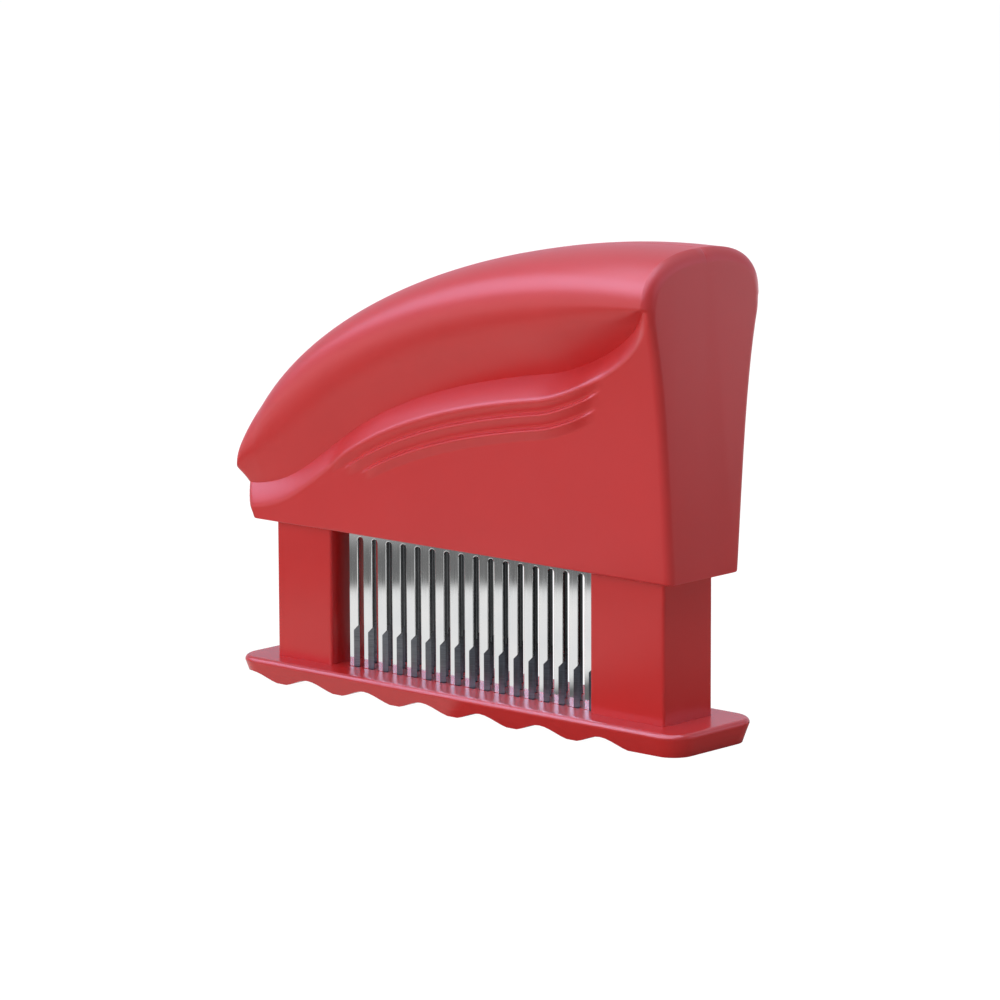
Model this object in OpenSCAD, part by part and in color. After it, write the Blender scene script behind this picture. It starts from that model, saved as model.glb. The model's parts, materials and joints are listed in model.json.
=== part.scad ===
// Hand-held blade meat tenderizer: a sprung handle with rows of needle blades,
// which pushes them through a slotted guard plate.  Millimetres, +Z up.
// The guard stands on the plane z = 0 and the handle is in its raised rest position.

/* [Blades] */
// Number of blades in each comb
blade_count = 17; // [13:1:21]
// Distance from one blade to the next
blade_pitch = 5.157; // [4.8:0.05:5.8]
// Width of one blade
blade_w = 3.06; // [2.6:0.05:3.4]
// Thickness of the comb sheet
blade_t = 0.8; // [0.6:0.05:1.0]
// Distance between two neighbouring rows of blades
row_pitch = 6.5; // [5.5:0.1:7]
// Height of the solid web above the slots
web_h = 16.6; // [14:0.2:18]
// How far the slot tops show below the handle
slot_show = 2.2; // [1:0.1:4]
// How far the tips sit above the standing plane at rest
tip_recess = 2.6; // [2.2:0.1:3.2]
// Rise of the slanted cutting point across one blade
tip_rise = 4; // [2:0.5:8]
// Height of the ground bevel above the tip, at its lower corner
bevel_h = 12; // [6:1:20]
// Angle of the ground bevel
bevel_angle = 24; // [10:1:26]

/* [Blade cartridge] */
// Thickness of the clamp bars outside the blade rows
clamp_t = 1.5; // [1:0.1:1.8]
// Diameter of the cartridge bolts
bolt_d = 3; // [2.5:0.1:3.4]
// Distance of the outer bolts from the middle one
bolt_step = 31; // [26:1:34]
// Height of the bolts above the handle's inside floor
bolt_h = 6; // [5.5:0.1:7]

/* [Guard] */
// Thickness of the base plate above the tops of the waves
base_t = 6.3; // [5.8:0.1:8]
// Depth of the base plate, front to rear
base_depth = 33.2; // [30:0.2:40]
// How far the base plate reaches past the left post
base_left = 9.8; // [7:0.2:14]
// How far the base plate reaches past the right post
base_right = 10.5; // [7:0.2:14]
// Corner radius of the base plate at its rim
base_corner = 7.5; // [5:0.1:9]
// How far the sides draw in below the rim
base_taper = 1.8; // [0.5:0.1:3]
// Radius of the rounded top edge
base_edge = 1.3; // [0.5:0.1:2]
// Distance between two waves of the underside
wave_pitch = 20.555; // [14:0.1:26]
// Height of the waves
wave_h = 2.6; // [1:0.1:2.8]
// Width of the left post
left_post_w = 19.7; // [17:0.1:24]
// Width of the right post
right_post_w = 24.6; // [18:0.1:28]
// Depth of both posts, front to rear
post_depth = 19; // [17:0.1:19.4]
// Wall thickness of the posts
post_wall = 2; // [1.5:0.1:2.4]
// Corner radius of the posts
post_corner = 0.8; // [0.4:0.1:1.5]
// Gap between the left post and the blades
left_gap = 4.3; // [3.6:0.1:8]
// Gap between the blades and the right post
right_gap = 1.1; // [0.8:0.1:6]
// Depth of the pockets that the posts stand in
pocket_d = 1.5; // [1:0.1:2]
// Thickness of the posts' floor
post_floor = 4; // [2.5:0.1:5]
// Thickness of the catch collar on top of the posts
catch_t = 2.5; // [2:0.1:3]
// How far the catch collar stands out at the ends
catch_out = 1.2; // [0.8:0.1:1.4]
// How far the right post's collar stands out to the front and rear
catch_side = 0.9; // [0.6:0.1:1]

/* [Travel and springs] */
// Travel of the handle
stroke = 28; // [20:1:29]
// Height of the handle above the base plate at rest
lift = 37.3; // [34:0.1:44]
// Diameter of the spring wire
wire_d = 1.3; // [1:0.05:1.5]
// Outer diameter of the springs
spring_d = 12; // [11:0.1:13]
// Number of spring turns
spring_turns = 14; // [8:1:14]
// Diameter of the guide rods inside the springs
rod_d = 8; // [6:0.1:8.2]
// Diameter of the guide rods' heads
rod_head_d = 15; // [13:0.2:16]
// Thickness of the guide rods' heads
rod_head_t = 2; // [1.5:0.1:3]

/* [Handle] */
// Handle width at its lower edge, front to rear
foot_w = 27.6; // [26.6:0.1:29]
// Greatest width of the palm rest
palm_w = 45.2; // [40:0.2:50]
// Width of the palm rest at the nose
nose_w = 29; // [28:0.5:34]
// How far the handle reaches past the left post
handle_left = 5.4; // [5:0.1:8]
// How far the handle reaches past the right post
handle_right = 5.7; // [5.2:0.1:9]
// How far the nose reaches past the lower edge
nose_reach = 5.6; // [3:0.1:8]
// Height of the nose's slanted end above the lower edge
nose_h = 13.4; // [11:0.1:16]
// Height of the crest above the lower edge
crest_h = 83.5; // [80:0.5:92]
// Height of the rounded palm rest above its widest line
palm_h = 13; // [11:0.5:15]
// Height of the finger groove's S-curve above the lower edge, at the nose
groove_low = 8.9; // [7:0.1:10]
// Drop from the crest to the S-curve's shoulder
groove_drop = 34.2; // [30:0.2:38]
// Width left between the two finger grooves, at the nose
waist_nose_w = 23; // [22.8:0.1:24.4]
// Width left between the two finger grooves, in the middle
waist_w = 24.6; // [23.4:0.1:25.6]
// Height of the slope below the S-curve
ledge_h = 6.2; // [5:0.1:7]
// Height of the decorative ridges
ridge_h = 0.85; // [0.3:0.05:1]
// Distance between the decorative ridges
ridge_pitch = 3.9; // [3.6:0.1:4.6]
// Radius of the handle's upright edges
edge_r = 2.2; // [1:0.1:3]
// Wall thickness of the handle
wall = 2.4; // [2:0.1:2.6]
// Thickness of the handle's inside floor
floor_t = 2.4; // [2:0.1:3]
// Thickness of the ribs inside the handle
rib_t = 1.6; // [1.2:0.1:2]

/* [Screws] */
// Diameter of the screws that join the shells
shell_screw_d = 3; // [2.6:0.1:3.4]
// Length of those screws below the head
shell_screw_l = 13; // [10:0.5:16]
// Diameter of the screws that hold the posts
post_screw_d = 3.5; // [3:0.1:4]
// Diameter of the screw bosses
boss_d = 8.6; // [8:0.1:9]

/* [Fits] */
// Clearance between parts that slide past each other
slide_gap = 0.3; // [0.25:0.05:0.4]
// Clearance of a screw or bolt in its hole
hole_gap = 0.1; // [0.05:0.05:0.2]

/* [Hidden] */
$fn = 48;
red = [0.74, 0.24, 0.25];
steel = [0.78, 0.79, 0.80];
bar_grey = [0.25, 0.25, 0.27];
over = 1;                                  // how far a cut runs past a face

// --- along the length: the blades are centred on x = 0 ---
comb_l = (blade_count - 1) * blade_pitch + blade_w;
slot_w = blade_pitch - blade_w;
left_post_x = -comb_l / 2 - left_gap - left_post_w / 2;
right_post_x = comb_l / 2 + right_gap + right_post_w / 2;
left_end = left_post_x - left_post_w / 2 - handle_left;
right_end = right_post_x + right_post_w / 2 + handle_right;
nose_x = left_end - nose_reach;
base_x0 = left_post_x - left_post_w / 2 - base_left;
base_x1 = right_post_x + right_post_w / 2 + base_right;
base_mid = (base_x0 + base_x1) / 2;
box_mid = (min(base_x0, nose_x) + max(base_x1, right_end)) / 2;

// --- heights ---
z0 = base_t + lift;                        // lower edge of the handle
floor_z = z0 + floor_t;                    // inside floor of the handle
slot_top = z0 - slot_show;                 // top of the comb slots
web_top = slot_top + web_h;                // top of the combs
post_foot = base_t - pocket_d;
spring_seat = post_foot + post_floor;
collar_z = floor_z + slide_gap;            // underside of the catch collars
post_top = collar_z + catch_t;
stop_z = post_top + stroke + slide_gap;    // where the collars would meet the ribs
rod_head_z = stop_z + 1.4;                 // underside of the guide rods' heads
spring_gap = 0.1;                          // play at each end of a spring
boss_h = 4.5;                              // centring boss on the posts' floor
rod_end = spring_seat + boss_h + stroke + 4;

// --- rows ---
rows = [-row_pitch, 0, row_pitch];
pack_half = row_pitch + blade_t / 2 + clamp_t;
bolt_z = floor_z + bolt_h;
bolt_xs = [-bolt_step, 0, bolt_step];
bolt_head_d = 5.5;
bolt_head_t = 2;
nut_w = 5.5;
nut_t = 2.2;

// --- guard ---
rim_z = base_t - base_edge;
screw_head_d = 6.6;
screw_head_t = 2.1;
recess_w = 0.75;                           // cross recess of a screw head: width of its arms
recess_deep = 1.1;
recess_share = 0.56;                       // its length, as a share of the head
screw_seat = post_foot - 2;                // where the post screws' heads bear
land_cut = 0.07 * wave_h;                  // flattens the bottom of each wave
wave_end = base_mid + 3 * wave_pitch;      // past the last wave the right end is flat

// --- handle skin ---
crest_z0 = z0 + crest_h;
crest_x = right_end - 7;
widest_z = crest_z0 - palm_h;
groove_end_x = right_end - 3;
shoulder_x = right_end - 41;
shoulder_z = crest_z0 - groove_drop;
crest_curve = [[nose_x, z0 + nose_h + 2], [nose_x + 3.8, z0 + nose_h + 38],
               [crest_x - 66.8, crest_z0], [crest_x, crest_z0]];
groove_curve_1 = [[nose_x, z0 + groove_low], [nose_x + 34.2, z0 + groove_low],
                  [nose_x + 27, shoulder_z - 13], [shoulder_x, shoulder_z]];
groove_curve_2 = [[shoulder_x, shoulder_z], [shoulder_x + 10.8, shoulder_z + 1.7],
                  [groove_end_x - 6.4, widest_z - 9.6], [groove_end_x, widest_z - 1.1]];
ridge_shape = [[2.5, 0], [0.3, 0.95], [-0.2, 0.9], [-0.9, 0]];   // [below its crest, share of its height]
lip_shape = [[2.5, 0], [0.3, 0.95]];       // the top ridge is the rolled lip of the slope
ridge_span = 2 * ridge_pitch + ridge_shape[0][0];
nose_taper = 150;                          // length over which the palm rest widens
fade = 8;                                  // length over which a ridge fades out
waist_fade = 29;                           // length over which the groove runs out at the right end
straight = 0.5;                            // share of the groove's wall that is straight
fullness = 2.4;                            // exponent of the palm rest's rounding, 2 for an ellipse
cut_step = 0.015;                          // keeps the points that the nose's end cuts off apart

function clamp01(v) = max(0, min(1, v));
function ease(v) = let (c = clamp01(v)) c * c * (3 - 2 * c);
function mix(a, b, s) = a + (b - a) * s;
function bezier(p, s) = pow(1 - s, 3) * p[0] + 3 * pow(1 - s, 2) * s * p[1]
                      + 3 * (1 - s) * s * s * p[2] + pow(s, 3) * p[3];
// height of a curve at x, found by halving
function height_at(p, x, lo = 0, hi = 1, n = 24) =
    let (m = (lo + hi) / 2)
    n == 0 ? bezier(p, m)[1]
           : bezier(p, m)[0] > x ? height_at(p, x, lo, m, n - 1) : height_at(p, x, m, hi, n - 1);

function crest(x) = x >= crest_x ? crest_z0 : height_at(crest_curve, x);
function bottom(x) = z0 + max(0, left_end - x) / nose_reach * nose_h;
function groove(x) = x < shoulder_x ? height_at(groove_curve_1, x)
                                   : height_at(groove_curve_2, min(x, groove_end_x));
// share of the height above the groove that the palm rest takes, from nose to right end
function palm_rise(x) = min(palm_h,
    (crest(x) - groove(x)) * mix(0.5, 0.92, clamp01((x - nose_x) / (right_end - nose_x))));
function palm_half(x) =
    mix(nose_w, palm_w, 1 - pow(1 - clamp01((x - nose_x) / nose_taper), 1.5)) / 2;
// the straight-faced body flares out gently, then faster under the palm rest
function body_half(z) = let (t = clamp01((z - z0) / (widest_z - z0)))
    mix(foot_w, palm_w, 0.6 * t + 0.4 * pow(t, 4.4)) / 2;
function waist_half(x) =
    let (narrow = mix(waist_nose_w, waist_w, ease((x - left_post_x - 12) / 20)) / 2)
    mix(narrow, body_half(groove(x)),
        pow(clamp01((x - right_end + waist_fade) / (waist_fade - 1)), 1.6));
// share of the way out along the groove's wall: straight at first, then upright at its top
function lean(u) = let (v = max(0, (u - straight) / (1 - straight)))
    2 / (1 + straight) * (min(u, straight) + (1 - straight) * (v - v * v / 2));
function ridge_size(x, k) =
    ridge_h * ease((x - left_end - 28.9 - 6.2 * k) / fade)
            * ease((right_end - 17.5 - 1.8 * k - x) / fade);
// How much a rounded edge takes off at the distance d from its end face.  It starts at the
// angle a, which leaves a crease, and ends upright.
function arc_inset(d, r, a) = d >= r * (1 - sin(a)) ? 0
    : r * (cos(a) - sqrt(max(0, 1 - pow(1 - max(0, d) / r, 2))));
// up the right end the edge grows from a plain rounding to a creased, wider one over the crest
crease_from = widest_z - 5;
function crease(z) = ease((z - crease_from) / 8);
function end_inset(x, z) =
    arc_inset(right_end - x, edge_r * mix(1, 2, crease(z)), 30 * crease(z));
function nose_inset(x, z) =
    arc_inset(x - left_end + nose_reach * clamp01((z - z0) / nose_h), edge_r, 0);

// half width at the height z, on a half section that rises point by point
function width_at(p, z, i = 1) = i < len(p) - 1 && p[i][1] < z ? width_at(p, z, i + 1)
    : mix(p[i - 1][0], p[i][0], clamp01((z - p[i - 1][1]) / (p[i][1] - p[i - 1][1])));

// Half a cross-section at x, as [half width, height] from the lower edge to the crest.
// inset moves it inwards for the inside of the wall; a fine section carries the ridges.
// Towards the nose, where the wall gets low, the slope (ledge) and the ridges shrink with it (k).
// The nose's slanted end cuts the section off: the points below it go up to the cut.
function section(x, inset, fine) =
    let (lift = inset > 0 ? floor_t : 0,
         zb = z0 + lift,
         zv = groove(x),
         rise = palm_rise(x),
         zw = crest(x) - rise,
         wb = palm_half(x),
         wv = waist_half(x),
         ledge = min(ledge_h, 0.82 * (zv - zb)),
         wall_n = fine ? 5 : 3,
         ledge_n = fine ? 4 : 2,
         scoop_n = fine ? 7 : 4,
         palm_n = fine ? 12 : 6,
         zl = zv - ledge,
         k = min(1, 0.85 * (zl - zb) / ridge_span),
         lip = fine ? ridge_size(x, 0) : 0,
         bend = mix(1.4, 1.05, ease((x - left_end) / 40)),
         start = fine ? zl - k * ridge_span : zl,
         raw = concat(
             [for (i = [0 : wall_n - 1]) let (z = mix(zb, start, i / wall_n)) [body_half(z), z]],
             fine ? [for (r = [2, 1, 0], s = r > 0 ? ridge_shape : lip_shape)
                 let (z = zl - k * (r * ridge_pitch + s[0]))
                 [body_half(z) + s[1] * ridge_size(x, r), z]] : [],
             [for (i = [0 : ledge_n - 1]) let (u = i / ledge_n)
                 [mix(body_half(zl) + lip, wv, pow(u, bend)), mix(zl, zv, u)]],
             [for (i = [0 : scoop_n - 1]) let (u = i / scoop_n)
                 [mix(wv, wb, lean(u)), mix(zv, zw, u)]]),
         whole = concat([for (p = raw) [max(0.2, p[0] - trim(x, p[1], inset)), p[1]]],
             [for (i = [0 : palm_n])
                 let (a = 90 * i / palm_n, up = pow(sin(a), 2 / fullness),
                      t = trim(x, zw + rise * up, inset))
                 [max(0, (wb - t) * pow(max(0, cos(a)), 2 / fullness)), zw + (rise - t) * up]]))
    [for (i = [0 : len(whole) - 1])
        let (z = max(whole[i][1], bottom(x) + lift + cut_step * i)) [width_at(whole, z), z]];
function trim(x, z, inset) = nose_inset(x, z) + (inset > 0 ? inset : end_inset(x, z));

function outer_stations(n = 52) = concat(
    [for (i = [0 : n]) mix(nose_x + 0.05, right_end - edge_r, pow(i / n, 1.5))],
    [for (a = [30 : 30 : 90]) right_end - edge_r + edge_r * sin(a)]);
function inner_stations(n = 26) =
    [for (i = [0 : n]) mix(left_end + wall, right_end + over, i / n)];

// Solid half of the handle on one side: side is -1 in front and 1 at the rear.
// lap carries the flat face far past the parting plane, for a clean cut.
module half_skin(side, inset, fine, stations, lap) {
    rings = [for (x = stations) let (s = section(x, inset, fine), last = s[len(s) - 1])
        [for (p = concat([[-lap, s[0][1]]], s, lap > 0 ? [[-lap, last[1]]] : []))
            [x, side * p[0], p[1]]]];
    m = len(rings[0]);
    n = len(rings);
    pts = [for (r = rings, p = r) p];
    walls = [for (i = [0 : n - 2], j = [0 : m - 1])
        let (a = i * m + j, b = i * m + (j + 1) % m, c = a + m, d = b + m)
        each [[a, c, b], [b, c, d]]];
    caps = [[for (j = [0 : m - 1]) j], [for (j = [m - 1 : -1 : 0]) (n - 1) * m + j]];
    faces = concat(walls, caps);
    polyhedron(pts, side > 0 ? faces : [for (f = faces) [for (i = [len(f) - 1 : -1 : 0]) f[i]]]);
}

// --- small building blocks ---
module box(x0, x1, y0, y1, za, zb) {
    translate([x0, y0, za]) cube([x1 - x0, y1 - y0, zb - za]);
}
module rod_y(x, z, d, y0, y1) {
    translate([x, y0, z]) rotate([-90, 0, 0]) cylinder(d = d, h = y1 - y0);
}
module rounded_rect(w, d, r) {
    square([w - 2 * r, d], center = true);
    square([w, d - 2 * r], center = true);
    for (x = [-1, 1], y = [-1, 1]) translate([x * (w / 2 - r), y * (d / 2 - r)]) circle(r);
}

module cross_recess(head_d) {
    for (a = [0, 90]) rotate([0, 0, a])
        cube([recess_share * head_d, recess_w, 2 * recess_deep], center = true);
}

// --- handle ---
// play beside the left and the right post: front and rear, then at the post's left end
well_side = [slide_gap, catch_side + slide_gap];
well_in = [catch_out + slide_gap, slide_gap];
post_xs = [left_post_x, right_post_x];
post_ws = [left_post_w, right_post_w];
seat_rib = 5;                              // the ribs over a guide rod lie this far off its axis

function well_x0(i) = post_xs[i] - post_ws[i] / 2 - well_in[i];
function well_x1(i) = post_xs[i] + post_ws[i] / 2 + catch_out + slide_gap;
function scoop_mid(x) = (groove(x) + crest(x) - palm_rise(x)) / 2;
// the inside between the wells, from which the ribs and the middle bosses take their places
room_x0 = well_x1(0) + rib_t;
room_x1 = well_x0(1) - rib_t;
rib_xs = [for (s = [0.08, 0.34, 0.7, 0.96]) mix(room_x0, room_x1, s)];
boss_xs = [for (s = [0.17, 0.5, 0.83]) mix(room_x0, room_x1, s)];
low_boss_z = web_top + boss_d / 2 + 0.8;
nose_boss_x = well_x0(0) - boss_d / 2 + 0.7;
end_boss_x = well_x1(1) - boss_d + 0.8;
end_boss_z = rod_head_z + rod_head_t + 2 * boss_d;
shell_screws_at = [[nose_boss_x, mix(groove(nose_boss_x), crest(nose_boss_x), 0.35)],
                   [boss_xs[0], scoop_mid(boss_xs[0])], [boss_xs[1], low_boss_z],
                   [boss_xs[2], low_boss_z], [boss_xs[2], scoop_mid(boss_xs[2])],
                   [end_boss_x, end_boss_z]];
screw_seat_y = 5;                          // where the shell screws' heads bear
shell_head_d = 5.6;
shell_head_t = 2;

module ribs_and_bosses() {
    for (x = rib_xs) box(x - rib_t / 2, x + rib_t / 2, -palm_w, palm_w, z0, crest_z0);
    for (i = [0, 1], s = [-1, 1])
        let (x = post_xs[i] + s * seat_rib)
        box(x - rib_t / 2, x + rib_t / 2, -palm_w, palm_w, z0, crest_z0);
    // the nose is solid up to the left well, and the right end has its wall
    box(nose_x, well_x0(0), -palm_w, palm_w, z0, crest_z0);
    box(right_end - wall, right_end + palm_w, -palm_w, palm_w, z0, crest_z0);
    // a wall stands beside each well, towards the blades
    box(well_x1(0), well_x1(0) + rib_t, -palm_w, palm_w, z0, crest_z0);
    box(well_x0(1) - rib_t, well_x0(1), -palm_w, palm_w, web_top, crest_z0);
    for (p = shell_screws_at) rod_y(p[0], p[1], boss_d, -palm_w, palm_w);
}

// space for the posts' collars, the guide rods and the blade cartridge
module moving_space() {
    for (i = [0, 1]) {
        y = post_depth / 2 + well_side[i];
        box(well_x0(i), well_x1(i), -y, y, floor_z, stop_z);
        foot = post_depth / 2 + slide_gap;
        box(post_xs[i] - post_ws[i] / 2 - slide_gap, post_xs[i] + post_ws[i] / 2 + slide_gap,
            -foot, foot, z0 - over, floor_z + over);
        translate([post_xs[i], 0, stop_z - over])
            cylinder(d = rod_head_d + 2 * hole_gap, h = rod_head_z + rod_head_t - stop_z + over);
    }
    play = comb_l / 2 + slide_gap;
    box(-play, play, -pack_half - hole_gap, pack_half + hole_gap, floor_z, web_top);
    window = row_pitch + blade_t / 2 + 0.4;
    box(-play, right_post_x - right_post_w / 2, -window, window, z0 - over, floor_z + over);
    for (x = bolt_xs)
        rod_y(x, bolt_z, nut_w * 1.3, -pack_half - bolt_head_t - 0.4, pack_half + nut_t + 1.2);
}

module shell(side) {
    difference() {
        half_skin(side, 0, true, outer_stations(), 0);
        difference() {
            half_skin(side, wall, false, inner_stations(), palm_w);
            ribs_and_bosses();
        }
        moving_space();
        for (p = shell_screws_at)
            if (side < 0)
                rod_y(p[0], p[1], shell_screw_d + hole_gap, screw_seat_y - shell_screw_l - 0.5, over);
            else {
                rod_y(p[0], p[1], shell_screw_d + 2 * hole_gap, -over, screw_seat_y + over);
                rod_y(p[0], p[1], shell_head_d + 6 * hole_gap, screw_seat_y, palm_w);
            }
    }
}

module handle_front() { color(red) shell(-1); }
module handle_rear() { color(red) shell(1); }

module shell_screws() {
    color(steel) for (p = shell_screws_at) {
        rod_y(p[0], p[1], shell_screw_d, screw_seat_y - shell_screw_l, screw_seat_y + 0.5);
        difference() {
            rod_y(p[0], p[1], shell_head_d, screw_seat_y, screw_seat_y + shell_head_t);
            translate([p[0], screw_seat_y + shell_head_t, p[1]]) rotate([90, 0, 0])
                cross_recess(shell_head_d);
        }
    }
}

// --- blade cartridge ---
module comb(y) {
    front = -blade_t / 2;
    color(steel) translate([0, y, 0]) difference() {
        box(-comb_l / 2, comb_l / 2, front, blade_t / 2, tip_recess, web_top);
        for (i = [0 : blade_count - 2]) {
            x = (i - (blade_count - 2) / 2) * blade_pitch;
            box(x - slot_w / 2, x + slot_w / 2, -over, over, 0, slot_top - slot_w / 2);
            rod_y(x, slot_top - slot_w / 2, slot_w, -over, over);
        }
        for (i = [0 : blade_count - 1]) {
            x = (i - (blade_count - 1) / 2) * blade_pitch;
            translate([x - blade_w / 2, over, tip_recess]) rotate([90, 0, 0]) linear_extrude(2 * over)
                polygon([[-0.1, -0.15], [blade_w + 0.1, tip_rise], [blade_w + 0.1, -over], [-0.1, -over]]);
            translate([x, front, tip_recess]) rotate([0, 0, bevel_angle]) rotate([90, 0, 0])
                linear_extrude(over)
                polygon([[0, -over], [blade_w, -over], [blade_w, bevel_h + blade_w], [0, bevel_h]]);
        }
        for (x = bolt_xs) rod_y(x, bolt_z, bolt_d + 2 * hole_gap, -over, over);
    }
}
module comb_front() { comb(rows[0]); }
module comb_middle() { comb(rows[1]); }
module comb_rear() { comb(rows[2]); }

// a bar of the cartridge between two y planes
module bar(y0, y1) {
    color(bar_grey) difference() {
        box(-comb_l / 2, comb_l / 2, y0, y1, floor_z, web_top);
        for (x = bolt_xs) rod_y(x, bolt_z, bolt_d + 2 * hole_gap, y0 - over, y1 + over);
    }
}
module spacer_front() { bar(rows[0] + blade_t / 2, rows[1] - blade_t / 2); }
module spacer_rear() { bar(rows[1] + blade_t / 2, rows[2] - blade_t / 2); }
module clamp_front() { bar(-pack_half, rows[0] - blade_t / 2); }
module clamp_rear() { bar(rows[2] + blade_t / 2, pack_half); }

module cartridge_bolts() {
    color(steel) for (x = bolt_xs) {
        rod_y(x, bolt_z, bolt_d, -pack_half, pack_half + nut_t + 0.5);
        rod_y(x, bolt_z, bolt_head_d, -pack_half - bolt_head_t, -pack_half);
    }
}
module cartridge_nuts() {
    color(steel) for (x = bolt_xs)
        translate([x, pack_half, bolt_z]) rotate([-90, 0, 0]) difference() {
            cylinder(d = nut_w / cos(30), h = nut_t, $fn = 6);
            translate([0, 0, -over]) cylinder(d = bolt_d + hole_gap, h = nut_t + 2 * over);
        }
}

// --- springs and their guide rods ---
module guide_rod(x) {
    color(bar_grey) translate([x, 0, 0]) {
        translate([0, 0, rod_end + 1]) cylinder(d = rod_d, h = rod_head_z - rod_end - 1);
        translate([0, 0, rod_end]) cylinder(d1 = rod_d - 2, d2 = rod_d, h = 1);
        translate([0, 0, rod_head_z]) cylinder(d = rod_head_d, h = rod_head_t);
    }
}
module left_guide_rod() { guide_rod(left_post_x); }
module right_guide_rod() { guide_rod(right_post_x); }

spring_r = (spring_d - wire_d) / 2;        // radius to the middle of the wire
spring_z0 = spring_seat + spring_gap + wire_d / 2;
spring_z1 = rod_head_z - spring_gap - wire_d / 2;
spring_rings = 8;                          // rings along one turn
wire_sides = 6;
function wire_point(a) = [spring_r * cos(a), spring_r * sin(a),
    mix(spring_z0, spring_z1, clamp01(a / 360 / spring_turns))];
// ring centres: a straight lead-in, the turns, a straight lead-out
wire_path = let (n = spring_turns * spring_rings, first = wire_point(0), last = wire_point(360 * spring_turns))
    concat([[0, first - [0, wire_d, 0]]],
           [for (i = [0 : n]) [360 * i / spring_rings, wire_point(360 * i / spring_rings)]],
           [[0, last + [0, wire_d, 0]]]);
spring_self_gap = min([for (i = [1 : 1 : spring_rings])
    norm(wire_point(360 + 45 * i) - wire_point(45 * i))]) - wire_d;
echo("least gap between spring turns", spring_self_gap);

module spring(x) {
    m = wire_sides;
    n = len(wire_path);
    pts = [for (p = wire_path, k = [0 : m - 1]) let (b = 360 * k / m, rr = wire_d / 2)
        p[1] + rr * cos(b) * [cos(p[0]), sin(p[0]), 0] + rr * sin(b) * [0, 0, 1]];
    sides = [for (i = [0 : n - 2], k = [0 : m - 1])
        let (a = i * m + k, b = i * m + (k + 1) % m) each [[a, b, a + m], [b, b + m, a + m]]];
    ends = [[for (k = [m - 1 : -1 : 0]) k], [for (k = [0 : m - 1]) (n - 1) * m + k]];
    color(steel) translate([x, 0, 0]) polyhedron(pts, concat(sides, ends));
}
module left_spring() { spring(left_post_x); }
module right_spring() { spring(right_post_x); }

// --- guard ---
// A hollow post: inner and outer say how far its collar stands out at each end
module post(x, w, inner, outer, side) {
    mid = (outer - inner) / 2;
    color(red) translate([x, 0, 0]) difference() {
        union() {
            translate([0, 0, post_foot]) linear_extrude(post_top - post_foot)
                rounded_rect(w, post_depth, post_corner);
            translate([mid, 0, collar_z]) linear_extrude(catch_t)
                rounded_rect(w + inner + outer, post_depth + 2 * side, post_corner);
        }
        difference() {
            translate([0, 0, spring_seat]) linear_extrude(post_top)
                rounded_rect(w - 2 * post_wall, post_depth - 2 * post_wall, post_corner);
            translate([0, 0, spring_seat - over]) cylinder(d = rod_d, h = boss_h + over);
        }
        translate([0, 0, post_foot - over])
            cylinder(d = post_screw_d + hole_gap, h = post_floor + boss_h);
    }
}
module left_post() { post(left_post_x, left_post_w, catch_out, catch_out, 0); }
module right_post() { post(right_post_x, right_post_w, 0, catch_out, catch_side); }

// outline of the plate's edge, from the corner centre outwards
function plate_edge() = concat(
    [[0, 0], [base_corner - base_taper, 0], [base_corner, rim_z]],
    [for (a = [15 : 15 : 90]) [base_corner - base_edge * (1 - cos(a)), rim_z + base_edge * sin(a)]],
    [[0, base_t]]);

module plate_blank() {
    cx = (base_x1 - base_x0) / 2 - base_corner;
    cy = base_depth / 2 - base_corner;
    edge = plate_edge();
    for (x = [-1, 1], y = [-1, 1])
        translate([x * cx, y * cy, 0]) rotate_extrude() polygon(edge);
    for (s = [0, 1]) mirror([0, s, 0]) rotate([90, 0, 90]) linear_extrude(2 * cx, center = true)
        polygon(concat([for (p = edge) [p[0] + cy, p[1]]], [[-0.5, base_t], [-0.5, 0]]));
    for (s = [0, 1]) mirror([s, 0, 0]) rotate([90, 0, 0]) linear_extrude(2 * cy, center = true)
        polygon(concat([for (p = edge) [p[0] + cx, p[1]]], [[-0.5, base_t], [-0.5, 0]]));
}

// height of the wavy underside
function wave(x) = let (c = 0.5 * wave_h * (1 - cos(360 * (x - base_mid) / wave_pitch)))
    x > wave_end ? 0 : max(0, c - land_cut);
wave_step = wave_pitch / 12;
wave_from = base_mid - ceil((base_mid - base_x0) / wave_step + 1) * wave_step;

module waves() {
    n = round((wave_end - wave_from) / wave_step);
    rotate([90, 0, 0]) linear_extrude(2 * base_depth, center = true)
        polygon(concat([for (i = [0 : n]) let (x = wave_from + i * wave_step) [x, wave(x)]],
                       [[wave_from + n * wave_step, -over], [wave_from, -over]]));
}

module base_plate() {
    color(red) difference() {
        translate([base_mid, 0, 0]) plate_blank();
        waves();
        for (y = rows, i = [0 : blade_count - 1]) {
            x = (i - (blade_count - 1) / 2) * blade_pitch;
            box(x - blade_w / 2 - slide_gap, x + blade_w / 2 + slide_gap,
                y - blade_t / 2 - slide_gap, y + blade_t / 2 + slide_gap, -over, base_t + over);
        }
        for (i = [0, 1]) translate([post_xs[i], 0, 0]) {
            translate([0, 0, post_foot]) linear_extrude(pocket_d + over)
                rounded_rect(post_ws[i] + hole_gap, post_depth + hole_gap, post_corner);
            translate([0, 0, -over]) cylinder(d = post_screw_d + 2 * hole_gap, h = base_t);
            translate([0, 0, -over]) cylinder(d = screw_head_d + 4 * hole_gap, h = screw_seat + over);
        }
    }
}

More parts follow.
